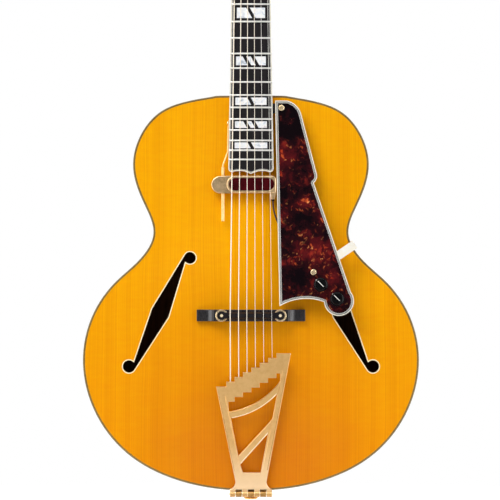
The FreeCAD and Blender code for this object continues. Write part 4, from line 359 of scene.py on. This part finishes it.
def drawn_metal(name, pale, deep, rough, lay_mm, metallic=1.0):
    """Drawn and polished wire or bar: cool grey highlights that run along it, with lines of the lay or the die. Less
    metallic where fine windings or polishing marks scatter the light to white."""
    made, tree, shader, place = start(name, metallic=metallic, roughness=rough)
    lay_place = add(tree, "Mapping", {"Vector": place, "Scale": (per(3), per(3), per(lay_mm))})
    lay = add(tree, "TexNoise", {"Vector": lay_place, "Scale": 1, "Detail": 2})
    colour = add(tree, "ValToRGB", {"Fac": lay}, stops=[(0.3, deep), (0.7, pale)])
    tree.links.new(colour.outputs[0], shader.inputs["Base Color"])
    relief = add(tree, "Bump", {"Height": lay, "Strength": 0.15, "Distance": 0.05 * MM})
    tree.links.new(relief.outputs[0], shader.inputs["Normal"])
    return made


def woven_sleeve():
    """Waxed cotton braid round a thin lead: dark brown with a fine diagonal weave."""
    made, tree, shader, place = start("woven_sleeve", roughness=0.7, sheen_weight=0.15)
    weave_place = add(tree, "Mapping", {"Vector": place, "Rotation": (0.6, 0.6, 0), "Scale": (per(1.2),) * 3})
    weave = add(tree, "TexChecker", {"Vector": weave_place, "Scale": 1, "Color1": linear("#2C140C"),
                                     "Color2": linear("#4A2414")})
    tree.links.new(weave.outputs[0], shader.inputs["Base Color"])
    relief = add(tree, "Bump", {"Height": weave.outputs["Fac"], "Strength": 0.3, "Distance": 0.1 * MM})
    tree.links.new(relief.outputs[0], shader.inputs["Normal"])
    return made


SPRUCE = spruce_amber_lacquer()
MAPLE_BACK = flame_maple_amber_lacquer("flame_maple_back", "back")
MAPLE_RIBS = flame_maple_amber_lacquer("flame_maple_ribs", "ribs")
MAPLE_NECK = flame_maple_amber_lacquer("flame_maple_neck", "neck")
INNER_SHADE_PAINTED = inner_wood_shade_painted()
EBONY = oiled_ebony("oiled_ebony", 0, 0.14)
EBONY_BUFFED = oiled_ebony("buffed_ebony", 0.6, 0.6)
EBONY_GLOSS = oiled_ebony("lacquered_ebony", 1, 0.24)
CREAM = celluloid_ply("cream_celluloid", "#F4F1E6", "#E6DFCB")
LACQUERED_CREAM = celluloid_ply("cream_celluloid_under_amber", "#FFF0CC", "#F8E2AE")
BLACK_PLY = celluloid_ply("black_celluloid", "#1A191B", "#101012")
# olive celluloid for the binding's outer edge: painted shade of the edge as it turns from the light
BINDING_EDGE_SHADE_PAINTED = celluloid_ply("celluloid_edge_shade_painted", "#8F7F58", "#7F6C42")
BROWN_PLY = celluloid_ply("brown_celluloid", "#6E5424", "#5E461A")
TAN_PLY = celluloid_ply("tan_celluloid", "#B98A34", "#A67A2A")
LAMINATE = laminated_ply()
TORTOISESHELL = tortoiseshell_celluloid()
PEARL = pearl_shell()
BONE = polished_bone()
BLACK_PLASTIC = moulded_plastic("black_moulded_plastic", "#0A0A0C", "#040405", 0.24)
WHITE_PAINT = moulded_plastic("white_filled_line", "#F2F2EC", "#DADAD2", 0.4)
RED_PLASTIC = moulded_plastic("red_moulded_plastic", "#4C0A13", "#330509", 0.16)
GOLD = plated_gold("satin_gold_plate", "#D8AF74", "#CFA468", 0.34, 0.06, paler_below_mm=60)
# darker gold for the shaded bevels of the mouldings: painted shade
GOLD_SHADE_PAINTED = plated_gold("gold_bevel_shade_painted", "#A67C44", "#8A6432", 0.5, 0.1)
GOLD_HINGE = plated_gold("tarnished_gold_hinge", "#C0955A", "#99733C", 0.36, 0.06)
GOLD_WORN = plated_gold("worn_gold_plate", "#F2D2A2", "#C9A87A", 0.3, 0.05)
GOLD_BRIGHT = plated_gold("buffed_gold_plate", "#FFD48C", "#F2BE70", 0.2, 0.03)
# pale gold for rounded edges, bevels and the bridge studs: painted highlight
GOLD_LIT = plated_gold("gold_bevel_highlight_painted", "#FFEFCC", "#F6DDAE", 0.4, 0.03, 0.5)
GOLD_SCREWS = plated_gold("pale_gold_screws", "#FFEBC4", "#E6C894", 0.25, 0.03, 0.85)
# near-white gold for the pickguard bracket: painted glare
GOLD_GLARE_PAINTED = plated_gold("gold_plate_glare_painted", "#FFFDF6", "#FBF3E0", 0.42, 0.03, 0.4)
GOLD_FILMED = plated_gold("lacquered_gold_rod", "#FFD592", "#F0C27C", 0.35, 0.03, 0.5)
BRASS = plated_gold("turned_brass", "#E8C070", "#C99A48", 0.3, 0.05)
NICKEL = drawn_metal("nickel_silver_fretwire", "#F6F5F2", "#E2E0DA", 0.3, 40, 0.6)
WOUND_WIRE = drawn_metal("nickel_wound_wire", "#F6EEDE", "#DACDB8", 0.4, 0.6, 0.6)
PLAIN_WIRE = drawn_metal("plain_steel_wire", "#F6F3EC", "#E4E0D8", 0.3, 60, 0.6)
STEEL = drawn_metal("zinced_steel", "#C8C8C4", "#A9A9A4", 0.38, 12)
SLEEVE = woven_sleeve()

NODE_FINISH = {
    "top_plate": SPRUCE, "back_plate": MAPLE_BACK, "rib_bass": MAPLE_RIBS, "rib_treble": MAPLE_RIBS,
    "neck": MAPLE_NECK, "heel_cap": EBONY_GLOSS, "f_hole_bindings": LACQUERED_CREAM, "body_binding": CREAM,
    # the blocks, linings and bars inside the box get the darkened inner wood, which is painted shade
    "neck_block": INNER_SHADE_PAINTED, "tail_block": INNER_SHADE_PAINTED, "linings": INNER_SHADE_PAINTED, "tone_bars": INNER_SHADE_PAINTED,
    "fingerboard": EBONY, "bridge_base": EBONY_BUFFED, "bridge_saddle": EBONY, "headstock_overlay": EBONY_GLOSS,
    "position_inlays": PEARL, "nut": BONE, "frets": NICKEL, "truss_rod": STEEL, "potentiometers": STEEL,
    "truss_rod_cover": BLACK_PLASTIC, "volume_knob": BLACK_PLASTIC, "tone_knob": BLACK_PLASTIC,
    "pickguard": TORTOISESHELL, "pickguard_block": EBONY, "pickup_coil": RED_PLASTIC,
    # the pickguard bracket's near-white gold is painted glare
    "pickup_case": GOLD_WORN, "pickup_rod": GOLD_FILMED, "pickguard_bracket": GOLD_GLARE_PAINTED, "tailpiece": GOLD,
    # the bridge studs' pale gold is painted highlight
    "tailpiece_bracket": GOLD_HINGE, "fitting_screws": GOLD_SCREWS, "bridge_studs": GOLD_LIT,
    "thumbwheel_bass": GOLD_SCREWS, "thumbwheel_treble": GOLD_SCREWS,
}


# Rounding: faces within FLAT of one plane are joined first. An edge that turns by more than SHARP between two faces
# larger than BROAD_FACE is rounded, unless it meets another at less than TIGHT. Shading breaks at CREASE.

SHARP = math.radians(40)
TIGHT = math.radians(50)
CREASE = math.radians(38)
FLAT = math.radians(0.1)
BROAD_FACE = MM * MM


def dress_nodes():
    """Every node gets its finish; hardware that isn't named above is buffed gold."""
    for name, piece in nodes.items():
        piece.data.materials.clear()
        piece.data.materials.append(NODE_FINISH.get(name, GOLD_BRIGHT))


def solids_of(mesh):
    """Polygon numbers of each closed solid of a mesh, in order: a solid ends where no edge is left open. Points are
    the same when they agree to the micrometre."""
    places = [tuple(round(part * 1e6) for part in vertex.co) for vertex in mesh.vertices]
    solids = [[]]
    unmatched = set()
    for face in mesh.polygons:
        solids[-1].append(face.index)
        corners = [places[number] for number in face.vertices]
        for edge in zip(corners, corners[1:] + corners[:1]):
            if edge[0] != edge[1]:
                unmatched ^= {frozenset(edge)}
        if not unmatched:
            solids.append([])
    return [solid for solid in solids if solid]


def dress_plies(piece, finishes):
    """Each ply of a binding gets its own finish, outer ply first; gives the plies as polygon numbers."""
    piece.data.materials.clear()
    for finish in finishes:
        piece.data.materials.append(finish)
    solids = solids_of(piece.data)
    for order, solid in enumerate(solids):
        for number in solid:
            piece.data.polygons[number].material_index = order * len(finishes) // len(solids)
    return solids


def paint_binding_edge_shade(name):
    """Front and back faces of a binding's outer ply get a darker olive celluloid: painted shade at the body's outline.
    """
    mesh = nodes[name].data
    mesh.materials.append(BINDING_EDGE_SHADE_PAINTED)
    for face in mesh.polygons:
        if face.material_index == 0 and abs(face.normal.y) > 0.4:
            face.material_index = len(mesh.materials) - 1


def lined_binding(node, inner_ply_mm):
    """A binding whose inner ply is a laminate: a copy of the node that knows how deep each point of that ply lies."""
    piece = bpy.data.objects.new(f"{node}_plies", nodes[node].data.copy())
    bpy.context.collection.objects.link(piece)
    mesh = piece.data
    _, dark, laminate = dress_plies(piece, [CREAM, BLACK_PLY, LAMINATE])
    dark_ply = BVHTree.FromPolygons([vertex.co for vertex in mesh.vertices],
                                    [tuple(mesh.polygons[number].vertices) for number in dark])
    depth = mesh.attributes.new("ply_depth", "FLOAT", "POINT")
    for number in laminate:
        for corner in mesh.polygons[number].vertices:
            distance = dark_ply.find_nearest(mesh.vertices[corner].co)[3]
            depth.data[corner].value = min(distance / (inner_ply_mm * MM), 1)
    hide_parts(node)
    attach(piece, "guitar")


def soften_edges(node, body, width_mm, edge_finish=None):
    """A copy of a node whose outer sharp edges are rounded, so that they catch the light, and may have a finish of
    their own, such as a pale gold that is painted highlight. Two edges that meet at a very acute angle stay as they
    are, because there is no room between them, and so do the narrow faces of an edge that is already round."""
    source = nodes[node].data
    form = bmesh.new()
    mesh = bpy.data.meshes.new(f"{node}_rounded")
    mesh.from_pydata([vertex.co for vertex in source.vertices], [], [tuple(face.vertices) for face in source.polygons])
    form.from_mesh(mesh)
    bmesh.ops.remove_doubles(form, verts=form.verts, dist=0.005 * MM)
    bmesh.ops.dissolve_limit(form, angle_limit=FLAT, verts=form.verts, edges=form.edges)
    broad = {face for face in form.faces if face.calc_area() > BROAD_FACE}
    sharp = {edge for edge in form.edges if len(edge.link_faces) == 2 and edge.calc_face_angle() > SHARP
             and broad.issuperset(edge.link_faces)}
    tight = set()
    for point in form.verts:
        meeting = [edge for edge in point.link_edges if edge in sharp]
        for one in meeting:
            for other in meeting:
                first, second = (edge.other_vert(point).co - point.co for edge in (one, other))
                if one is not other and first.angle(second) < TIGHT:
                    tight.update((one, other))
    outer = [edge for edge in form.edges if edge in sharp - tight and edge.is_convex]
    bmesh.ops.bevel(form, geom=outer, offset=width_mm * MM, segments=3, profile=0.5, affect="EDGES",
                    clamp_overlap=False, material=1 if edge_finish else -1)
    form.to_mesh(mesh)
    form.free()
    mesh.shade_smooth()
    mesh.set_sharp_from_angle(angle=CREASE)
    mesh.materials.append(NODE_FINISH[node])
    if edge_finish:
        mesh.materials.append(edge_finish)
    piece = bpy.data.objects.new(f"{node}_rounded", mesh)
    bpy.context.collection.objects.link(piece)
    shading = piece.modifiers.new("even_shading", "WEIGHTED_NORMAL")
    shading.weight = 100
    shading.keep_sharp = True
    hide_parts(node)
    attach(piece, body)


def inside_faces(name, outward):
    """The inner face of a plate is bare wood in a darkened finish, painted shade: faces that look into the box get it.
    """
    mesh = nodes[name].data
    mesh.materials.append(INNER_SHADE_PAINTED)
    for face in mesh.polygons:
        if face.normal.y * outward < -0.5:
            face.material_index = 1


# Frames of the neck, headstock, tailpiece, pickguard and pickup, in millimetres and degrees, as in the solids

SCALE_LENGTH = 635
JOINT_FRET = 14
BODY_LENGTH = 508
BOARD_FACE = -57.1
GUARD_FACE = -56.1
NECK_DEGREES = 3.6
HEAD_DEGREES = 14
HEAD_DROP = 3.4
HEAD_DEPTH = 15.5
NUT_LENGTH = 5
TAIL_DEGREES = 8
TAIL_HINGE = (0, -43.7, -4)
PICKUP_STATION = 393.6
PICKUP_SHARE = 0.733

NECK_PITCH = math.radians(NECK_DEGREES)
TO_JOINT = SCALE_LENGTH * (1 - 2 ** (-JOINT_FRET / 12))


def turned(place, degrees):
    """A frame at a place, turned about X."""
    return Matrix.Translation(place) @ Matrix.Rotation(math.radians(degrees), 4, "X")


NECK = turned((0, BOARD_FACE + TO_JOINT * math.sin(NECK_PITCH), BODY_LENGTH + TO_JOINT * math.cos(NECK_PITCH)),
              -NECK_DEGREES)
HEAD = NECK @ turned((0, HEAD_DROP, NUT_LENGTH), -HEAD_DEGREES)
TAIL = turned(TAIL_HINGE, TAIL_DEGREES)
GUARD = turned((0, GUARD_FACE, BODY_LENGTH), -NECK_DEGREES)
PICKUP = turned((0, (NECK @ Vector((0, 0, -SCALE_LENGTH * PICKUP_SHARE))).y, PICKUP_STATION), -NECK_DEGREES)


# Wires and turned shapes


def wire_rings(points, radii, sides):
    """Rings of points round a wire that runs through the points, kept from twisting."""
    rings = []
    side = None
    for index, point in enumerate(points):
        ahead = (points[min(index + 1, len(points) - 1)] - points[max(index - 1, 0)]).normalized()
        side = ahead.orthogonal() if side is None else side - ahead * side.dot(ahead)
        side.normalize()
        up = ahead.cross(side)
        angles = [2 * math.pi * step / sides for step in range(sides)]
        rings.append([(point + (side * math.cos(angle) + up * math.sin(angle)) * radii[index]) * MM
                      for angle in angles])
    return rings


def skin(form, rings, looped=False, tints=None):
    """Faces between rings of points, closed at both ends or joined end to end; tints number each side's finish."""
    rows = [[form.verts.new(point) for point in ring] for ring in rings]
    pairs = list(zip(rows, rows[1:]))
    if looped:
        pairs.append((rows[-1], rows[0]))
    for low, high in pairs:
        for step in range(len(low)):
            face = form.faces.new((low[step - 1], low[step], high[step], high[step - 1]))
            face.material_index = tints[step] if tints else 0
    if not looped:
        form.faces.new(rows[0])
        form.faces.new(rows[-1])


def lathe_rings(axis, profile, sides):
    """Rings of a turned shape about the Z of a frame: the profile lists radius and height in millimetres."""
    rings = []
    for radius, height in profile:
        ring = []
        for step in range(sides):
            angle = 2 * math.pi * step / sides
            ring.append(axis @ Vector((radius * math.cos(angle), radius * math.sin(angle), height)) * MM)
        rings.append(ring)
    return rings


def finished(form, name, finish, crease=CREASE):
    """A piece from a mesh form, smooth except at its creases."""
    bmesh.ops.recalc_face_normals(form, faces=form.faces)
    mesh = bpy.data.meshes.new(name)
    form.to_mesh(mesh)
    form.free()
    mesh.shade_smooth()
    mesh.set_sharp_from_angle(angle=crease)
    mesh.materials.append(finish)
    piece = bpy.data.objects.new(name, mesh)
    bpy.context.collection.objects.link(piece)
    return piece


# Strings: bass side first

STRING_RADII = (0.66, 0.53, 0.42, 0.33, 0.24, 0.19)
BOARD_RADIUS = 305
NUT_PITCH, NUT_RISE = 7.4, 1.5
SADDLE_PITCH, SADDLE_RISE = 10.6, 5.2
WIRE_SIDES = 12

# Tuner posts: side of the head and place in its row for each string, then the first post and the step to the next
POST_OF_STRING = ((-1, 0), (-1, 1), (-1, 2), (1, 2), (1, 1), (1, 0))
POST_ACROSS, POST_ACROSS_STEP = 25, 2.4
POST_UP, POST_UP_STEP = 44, 39
POST_RADIUS = 2.9
WINDING_TURNS = 2.5
WINDING_LEVEL = -5.2
WINDING_GAP = 0.5
TURN_STEPS = 24

# Tail end: slots in the plate, the ball in its slot, the twist that holds it, and the free run behind the saddle
SLOT_LEFT, SLOT_WIDTH = -31.6, 10.7
SLOT_UP, SLOT_UP_STEP = 135.35, 6.15
BALL_DEPTH = 0.9
BALL_ROOM = 2.2
BALL_PROFILE = ((0.8, -1.7), (1.8, -1.7), (2, -1.5), (2, -1.1), (1.5, -0.7), (1.5, 0.7), (2, 1.1), (2, 1.5), (1.8, 1.7),
                (0.8, 1.7))
BALL_SIDES = 20
TWIST_LENGTH = 9
TWIST_TAPER = 0.8
FREE_BEHIND = 12


def string_over_board(order, pitch, rise, distance):
    """The middle of a string at a distance from the nut, at a height that follows the board's curve."""
    across = pitch * (order - 2.5)
    return NECK @ Vector((across, across * across / (2 * BOARD_RADIUS) - rise - STRING_RADII[order], -distance))


def post_winding(order, nut_back):
    """Points of the two and a half turns on the tuner post, from where the string meets it, then into the post."""
    wire = STRING_RADII[order]
    side, row = POST_OF_STRING[order]
    post = Vector((side * (POST_ACROSS + POST_ACROSS_STEP * row), 0, POST_UP + POST_UP_STEP * row))
    radius = POST_RADIUS + wire
    pitch = 2 * wire + WINDING_GAP
    nut = HEAD.inverted() @ nut_back
    reach = Vector((post.x - nut.x, 0, post.z - nut.z))
    first = math.atan2(reach.z, reach.x) + side * (math.asin(radius / reach.length) + math.pi / 2)
    points = []
    for step in range(round(WINDING_TURNS * TURN_STEPS) + 1):
        turns = step / TURN_STEPS
        angle = first - side * 2 * math.pi * turns
        points.append(HEAD @ Vector((post.x + radius * math.cos(angle), WINDING_LEVEL - wire - pitch * turns,
                                     post.z + radius * math.sin(angle))))
    points.append(HEAD @ Vector((post.x, WINDING_LEVEL - wire - pitch * WINDING_TURNS, post.z)))
    return points


def string_points(order):
    """The ball's place, the points and radii of one string from there to its post, and the number of the point a
    little behind the saddle where its runs part; the next point is on the saddle. Beside the ball the string's own
    end is twisted round it, which makes it thick and knobbly."""
    wire = STRING_RADII[order]
    ball = TAIL @ Vector((SLOT_LEFT + SLOT_WIDTH * (order + 0.5), BALL_DEPTH, SLOT_UP + SLOT_UP_STEP * order))
    saddle = string_over_board(order, SADDLE_PITCH, SADDLE_RISE, SCALE_LENGTH)
    nut_front = string_over_board(order, NUT_PITCH, NUT_RISE, 0)
    nut_back = string_over_board(order, NUT_PITCH, NUT_RISE, -NUT_LENGTH)
    along = (saddle - ball).normalized()
    points = []
    radii = []
    turns = round(TWIST_LENGTH / (2.4 * wire + 0.4))
    for step in range(2 * turns + 1):
        points.append(ball + along * (BALL_ROOM + TWIST_LENGTH * step / (2 * turns)))
        radii.append(wire * 1.35 + 0.16 * (step % 2) + 0.04)
    points.append(points[-1] + along * TWIST_TAPER)
    radii.append(wire)
    behind = len(points)
    points.append(saddle - along * FREE_BEHIND)
    points.extend([saddle, nut_front, nut_back])
    points.extend(post_winding(order, nut_back))
    radii.extend([wire] * (len(points) - len(radii)))
    return ball, points, radii, behind


def string_set(node, orders, finish):
    """Strings in three runs: post to saddle, a short run behind the saddle, and the tail end; the ball ends go with the
    tailpiece.
    """
    speaking, behind_saddle, tail_end, balls = bmesh.new(), bmesh.new(), bmesh.new(), bmesh.new()
    for order in orders:
        ball, points, radii, behind = string_points(order)
        rings = wire_rings(points, radii, WIRE_SIDES)
        skin(tail_end, rings[:behind + 1])
        skin(behind_saddle, rings[behind:behind + 2])
        skin(speaking, rings[behind + 1:])
        spool = Matrix.Translation(ball) @ Matrix.Rotation(math.pi / 2, 4, "Y")
        skin(balls, lathe_rings(spool, BALL_PROFILE, BALL_SIDES), looped=True)
    run = finished(speaking, f"{node}_speaking", finish)
    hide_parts(node)
    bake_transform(run)
    run = finished(behind_saddle, f"{node}_behind_saddle", finish)
    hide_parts(node)
    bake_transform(run)
    run = finished(tail_end, f"{node}_tail_end", finish)
    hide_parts(node)
    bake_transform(run)
    ends = finished(balls, f"{node}_ball_ends", BRASS)
    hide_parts(node)
    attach(ends, "tailpiece")


# Controls on the pickguard, as across and station, and the pickup's lead to the first of them

VOLUME_AT = (89.2, 265.2)
TONE_AT = (110, 247)
UNDER_GUARD = 6.6
CONTROL_RADIUS = 8.45
LEAD_RADIUS = 1.1
OUTLET = Vector((28.2, 8, -19))
OUTLET_PROFILE = ((1.15, 0.3), (2.1, 0.3), (2.1, -0.9), (1.7, -1.6), (1.15, -1.6))


def guard_height(station):
    """How far up the tilted pickguard a station of the body lies, from the neck joint."""
    return (station - BODY_LENGTH) / math.cos(NECK_PITCH)


def on_guard(across, station):
    """A point of the lead's run under the pickguard."""
    return GUARD @ Vector((across, UNDER_GUARD, guard_height(station)))


def pickup_lead():
    """The braided lead: out of the case's corner, under the pickguard, to the volume control."""
    start_point = PICKUP @ Vector((28.2, 8, -19.05))
    drop = PICKUP @ Vector((28.2, 8, -27.05))
    control = on_guard(*VOLUME_AT)
    along = on_guard(60, 290)
    end_point = control - (control - along).normalized() * CONTROL_RADIUS
    route = [start_point, drop, on_guard(31, 352), along, end_point]
    curve = bpy.data.curves.new("pickup_lead_line", "CURVE")
    curve.dimensions = "3D"
    spline = curve.splines.new("NURBS")
    spline.points.add(len(route) - 1)
    for point, place in zip(spline.points, route):
        point.co = (*(place * MM), 1)
    spline.order_u = 3
    spline.use_endpoint_u = True
    spline.resolution_u = 24
    line = bpy.data.objects.new("pickup_lead_line", curve)
    bpy.context.collection.objects.link(line)
    bpy.context.view_layer.update()
    centres = [vertex.co / MM for vertex in bpy.data.meshes.new_from_object(line).vertices]
    bpy.data.objects.remove(line)
    form = bmesh.new()
    skin(form, wire_rings(centres, [LEAD_RADIUS] * len(centres), WIRE_SIDES))
    lead = finished(form, "pickup_lead_braid", SLEEVE)
    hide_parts("pickup_lead")
    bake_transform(lead)
    form = bmesh.new()
    skin(form, lathe_rings(PICKUP @ Matrix.Translation(OUTLET), OUTLET_PROFILE, 20), looped=True)
    grommet = finished(form, "pickup_lead_grommet", BLACK_PLASTIC)
    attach(grommet, "pickup")


# Tailpiece mouldings: in the plate's own plane, across and up from the hinge in millimetres

STRIP_FOOT = -1.95
STRIP_HEIGHT = 0.55
STRIP_END_GAP = 0.02
STRIP_CREASE = math.radians(12)
PLAIN, SHADED_BEVEL, LIT = 0, 1, 2


def between(first, last, share):
    """A point of the straight line from first to last."""
    return (first[0] + (last[0] - first[0]) * share, first[1] + (last[1] - first[1]) * share)


def bowed(first, middle, last, share):
    """A point of the curve through three points."""
    weights = ((1 - share) * (1 - 2 * share), 4 * share * (1 - share), share * (2 * share - 1))
    return tuple(sum(weight * point[axis] for weight, point in zip(weights, (first, middle, last))) for axis in (0, 1))


def moulding(form, one_side, other_side, steps, inset, bevels, tints):
    """A raised strip along a bar whose two edges are given as functions of a share of its length. Its inset and the
    bevels are shares of the bar's width. Tints give the finish of the foot, the first bevel, the face and the second
    bevel: a bevel is plain gold, darker gold that is painted shade, or pale gold that is painted highlight."""
    rings = []
    for step in range(steps + 1):
        share = STRIP_END_GAP + (1 - 2 * STRIP_END_GAP) * step / steps
        left, right = one_side(share), other_side(share)
        ring = []
        for depth, height in ((inset, 0), (inset + bevels[0], STRIP_HEIGHT), (1 - inset - bevels[1], STRIP_HEIGHT),
                              (1 - inset, 0)):
            across, up = between(left, right, depth)
            ring.append(TAIL @ Vector((across, STRIP_FOOT - height, up)) * MM)
        rings.append(ring)
    skin(form, rings, tints=tints)


def tailpiece_mouldings():
    """Strips on the legs and the two bars of the plate. Each leg has one bevel of painted shade, the curved bar one of
    painted shade and one of painted highlight, and the straight bar one of painted highlight.
    """
    form = bmesh.new()
    moulding(form, lambda share: between((-42.6, 130), (-22.4, 29), share),
             lambda share: between((-32.2, 130), (-11.6, 29), share), 2, 0.1, (0.05, 0.05),
             (PLAIN, SHADED_BEVEL, PLAIN, PLAIN))
    moulding(form, lambda share: between((39.4, 163), (12.4, 29), share),
             lambda share: between((47.2, 163), (22.3, 29), share), 2, 0.16, (0.06, 0.06),
             (PLAIN, PLAIN, PLAIN, SHADED_BEVEL))
    moulding(form, lambda share: bowed((-28.2, 107.7), (6.9, 119.9), (37.2, 147), share),
             lambda share: bowed((-25.6, 99.1), (6, 109.4), (33.2, 130.2), share), 20, 0.03, (0.08, 0.14),
             (PLAIN, SHADED_BEVEL, PLAIN, LIT))
    moulding(form, lambda share: between((-16.2, 50), (27.2, 97.8), share),
             lambda share: between((-13.6, 38.8), (21.6, 78.8), share), 2, 0.03, (0.06, 0.16),
             (PLAIN, PLAIN, PLAIN, LIT))
    # the darker and paler bevel finishes are painted shade and painted highlight
    strips = finished(form, "tailpiece_mouldings", GOLD, STRIP_CREASE)
    strips.data.materials.append(GOLD_SHADE_PAINTED)
    strips.data.materials.append(GOLD_LIT)
    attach(strips, "tailpiece")


# Headstock: the truss rod pocket's half width and its ends, above the nut

POCKET_HALF = 4
POCKET_LOW, POCKET_HIGH = 4, 34
SLIP_BEVEL = 0.9


def pocket_floor():
    """A thin slip of the neck's maple, bevelled inside, that closes the truss rod pocket flush with the head's back."""
    form = bmesh.new()
    rings = []
    for depth, inset in ((13.6, SLIP_BEVEL), (14.3, 0), (HEAD_DEPTH, 0)):
        half, low, high = POCKET_HALF - inset, POCKET_LOW + inset, POCKET_HIGH - inset
        rings.append([HEAD @ Vector((across, depth, up)) * MM
                      for across, up in ((-half, low), (half, low), (half, high), (-half, high))])
    skin(form, rings)
    slip = finished(form, "truss_rod_pocket_floor", MAPLE_NECK)
    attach(slip, "guitar")


# Knob marks, from the knob's own axis: a groove with round ends across its top, and a dot on the sloping skirt

KNOB_REST = math.radians(135)
GROOVE_ENDS = ((5.4, -90), (-4.2, 90))
GROOVE_HALF = 0.44
GROOVE_LAYERS = ((13.45, 1), (13.8, 1), (13.88, 0.72))
DOT_AT = (8.3, 0, 2.86)
DOT_TILT = math.radians(36)
DOT_PROFILE = ((0.62, -0.2), (0.62, 0.06), (0.42, 0.14), (0.12, 0.17))


def knob_marks(name, across, station):
    """White filling of the knob's pointer groove, and a white dot on its skirt."""
    place = Matrix.Translation((across, 0, guard_height(station)))
    own = GUARD @ place @ Matrix.Rotation(math.pi / 2, 4, "X") @ Matrix.Rotation(KNOB_REST, 4, "Z")
    form = bmesh.new()
    outline = []
    for middle, first in GROOVE_ENDS:
        for step in range(7):
            angle = math.radians(first + 30 * step)
            outline.append(Vector((middle + GROOVE_HALF * math.cos(angle), GROOVE_HALF * math.sin(angle), 0)))
    rings = []
    for height, narrowed in GROOVE_LAYERS:
        rings.append([own @ Vector((point.x, point.y * narrowed, height)) * MM for point in outline])
    skin(form, rings)
    dot = own @ Matrix.Translation(DOT_AT) @ Matrix.Rotation(DOT_TILT, 4, "Y")
    skin(form, lathe_rings(dot, DOT_PROFILE, 16))
    marks = finished(form, f"{name}_knob_marks", WHITE_PAINT)
    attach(marks, name)


# Studio, in metres: each light's place, what it is aimed at, its side and its power in watts

MIDDLE = (0, 0, 0.3)
LIGHTS = {
    "key_light": ((-1.3, -2.1, 2.8), MIDDLE, 2.2, 106),
    "side_fill": ((2.4, -2.0, 1.2), MIDDLE, 2.0, 26),
    "back_fill": ((0.8, 2.8, 2.2), MIDDLE, 2.2, 70),
    "floor_light": ((0, 1.1, 2.6), (0, 0.5, 0), 2.0, 90),
}
BRIDGE_LEVEL = (0, 0, 0.23)
SHINE_CARDS = {
    "left_card": ((-2, -0.3, 0.3), BRIDGE_LEVEL, 2.6, 60),
    "right_card": ((2, -0.3, 0.3), BRIDGE_LEVEL, 2.6, 60),
}
FLOOR_REACH = 2
FLOOR_DROP = 45 * MM


def light(name, place, aim, size, power, shine_only=False):
    """A square soft light; one that is for shine only shows in polished surfaces and casts no light on dull ones."""
    lamp = bpy.data.lights.new(name, "AREA")
    lamp.size = size
    lamp.energy = power
    source = bpy.data.objects.new(name, lamp)
    source.location = place
    source.rotation_euler = (Vector(aim) - Vector(place)).to_track_quat("-Z", "Y").to_euler()
    source.visible_camera = False
    source.visible_diffuse = not shine_only
    bpy.context.collection.objects.link(source)


def paper_floor():
    """A plain pale floor, a little below the hanging guitar, that fades out into the white surround."""
    level = cad_box[0].z - FLOOR_DROP
    mesh = bpy.data.meshes.new("floor")
    corners = [(across * FLOOR_REACH, back * FLOOR_REACH, level)
               for across, back in ((-1, -1), (1, -1), (1, 1), (-1, 1))]
    mesh.from_pydata(corners, [], [(0, 1, 2, 3)])
    floor = bpy.data.objects.new("floor", mesh)
    bpy.context.collection.objects.link(floor)
    paper, tree, shader, place = start("pale_paper_floor", roughness=0.9, specular_ior_level=0.05)
    fibre = add(tree, "TexNoise", {"Vector": place, "Scale": per(300), "Detail": 2})
    tone = add(tree, "ValToRGB", {"Fac": fibre}, stops=[(0.3, "#F6F6F5"), (0.7, "#FAFAF9")])
    tree.links.new(tone.outputs[0], shader.inputs["Base Color"])
    distance = add(tree, "VectorMath", {"Vector": place}, operation="LENGTH")
    fade = add(tree, "MapRange", {"Value": distance.outputs["Value"], "From Min": 0.3, "From Max": 1.1,
                                  "To Min": 1, "To Max": 0})
    tree.links.new(fade.outputs[0], shader.inputs["Alpha"])
    mesh.materials.append(paper)


def studio():
    """Broad soft lights from high on the left, cards at both sides that only polish shows, and a white surround that
    shiny pieces see darker straight ahead."""
    paper_floor()
    world = bpy.data.worlds.new("white_surround")
    world.use_nodes = True
    bpy.context.scene.world = world
    tree = world.node_tree
    seen = tree.nodes["Background"]
    seen.inputs["Color"].default_value = (1, 1, 1, 1)
    fill = add(tree, "Background", {"Color": linear("#FFFFFF"), "Strength": 0.26})
    heading = add(tree, "SeparateXYZ", {"Vector": add(tree, "TexCoord").outputs["Generated"]})
    height = add(tree, "MapRange", {"Value": heading.outputs["Z"], "From Min": -1, "From Max": 1})
    tones = add(tree, "ValToRGB", {"Fac": height}, stops=[(0.3, "#BEBEBC"), (0.45, "#A4A4A2"), (0.5, "#84848A"),
                                                         (0.6, "#8C8C8E"), (0.78, "#D2D2D0")])
    mirrored = add(tree, "Background", {"Color": tones, "Strength": 1})
    path = add(tree, "LightPath")
    unseen = add(tree, "MixShader", {0: path.outputs["Is Glossy Ray"], 1: fill, 2: mirrored})
    both = add(tree, "MixShader", {0: path.outputs["Is Camera Ray"], 1: unseen, 2: seen})
    tree.links.new(both.outputs[0], tree.nodes["World Output"].inputs["Surface"])
    for name, setting in LIGHTS.items():
        light(name, *setting)
    for name, setting in SHINE_CARDS.items():
        light(name, *setting, shine_only=True)
    bpy.context.scene.view_settings.view_transform = "Standard"


place_camera()
dress_nodes()
inside_faces("top_plate", -1)
inside_faces("back_plate", 1)
soften_edges("pickup_case", "pickup", 1.1)
soften_edges("bridge_base", "guitar", 0.8)
# the tailpiece's rounded edges get pale gold: painted highlight
soften_edges("tailpiece", "tailpiece", 0.6, GOLD_LIT)
dress_plies(nodes["body_binding"], [CREAM, BROWN_PLY, TAN_PLY])
paint_binding_edge_shade("body_binding")
dress_plies(nodes["headstock_binding"], [BLACK_PLY, CREAM])
lined_binding("pickguard_binding", 1.5)
lined_binding("fingerboard_binding", 0.6)
string_set("wound_strings", range(4), WOUND_WIRE)
string_set("plain_strings", range(4, 6), PLAIN_WIRE)
pickup_lead()
tailpiece_mouldings()
pocket_floor()
knob_marks("volume", *VOLUME_AT)
knob_marks("tone", *TONE_AT)
studio()
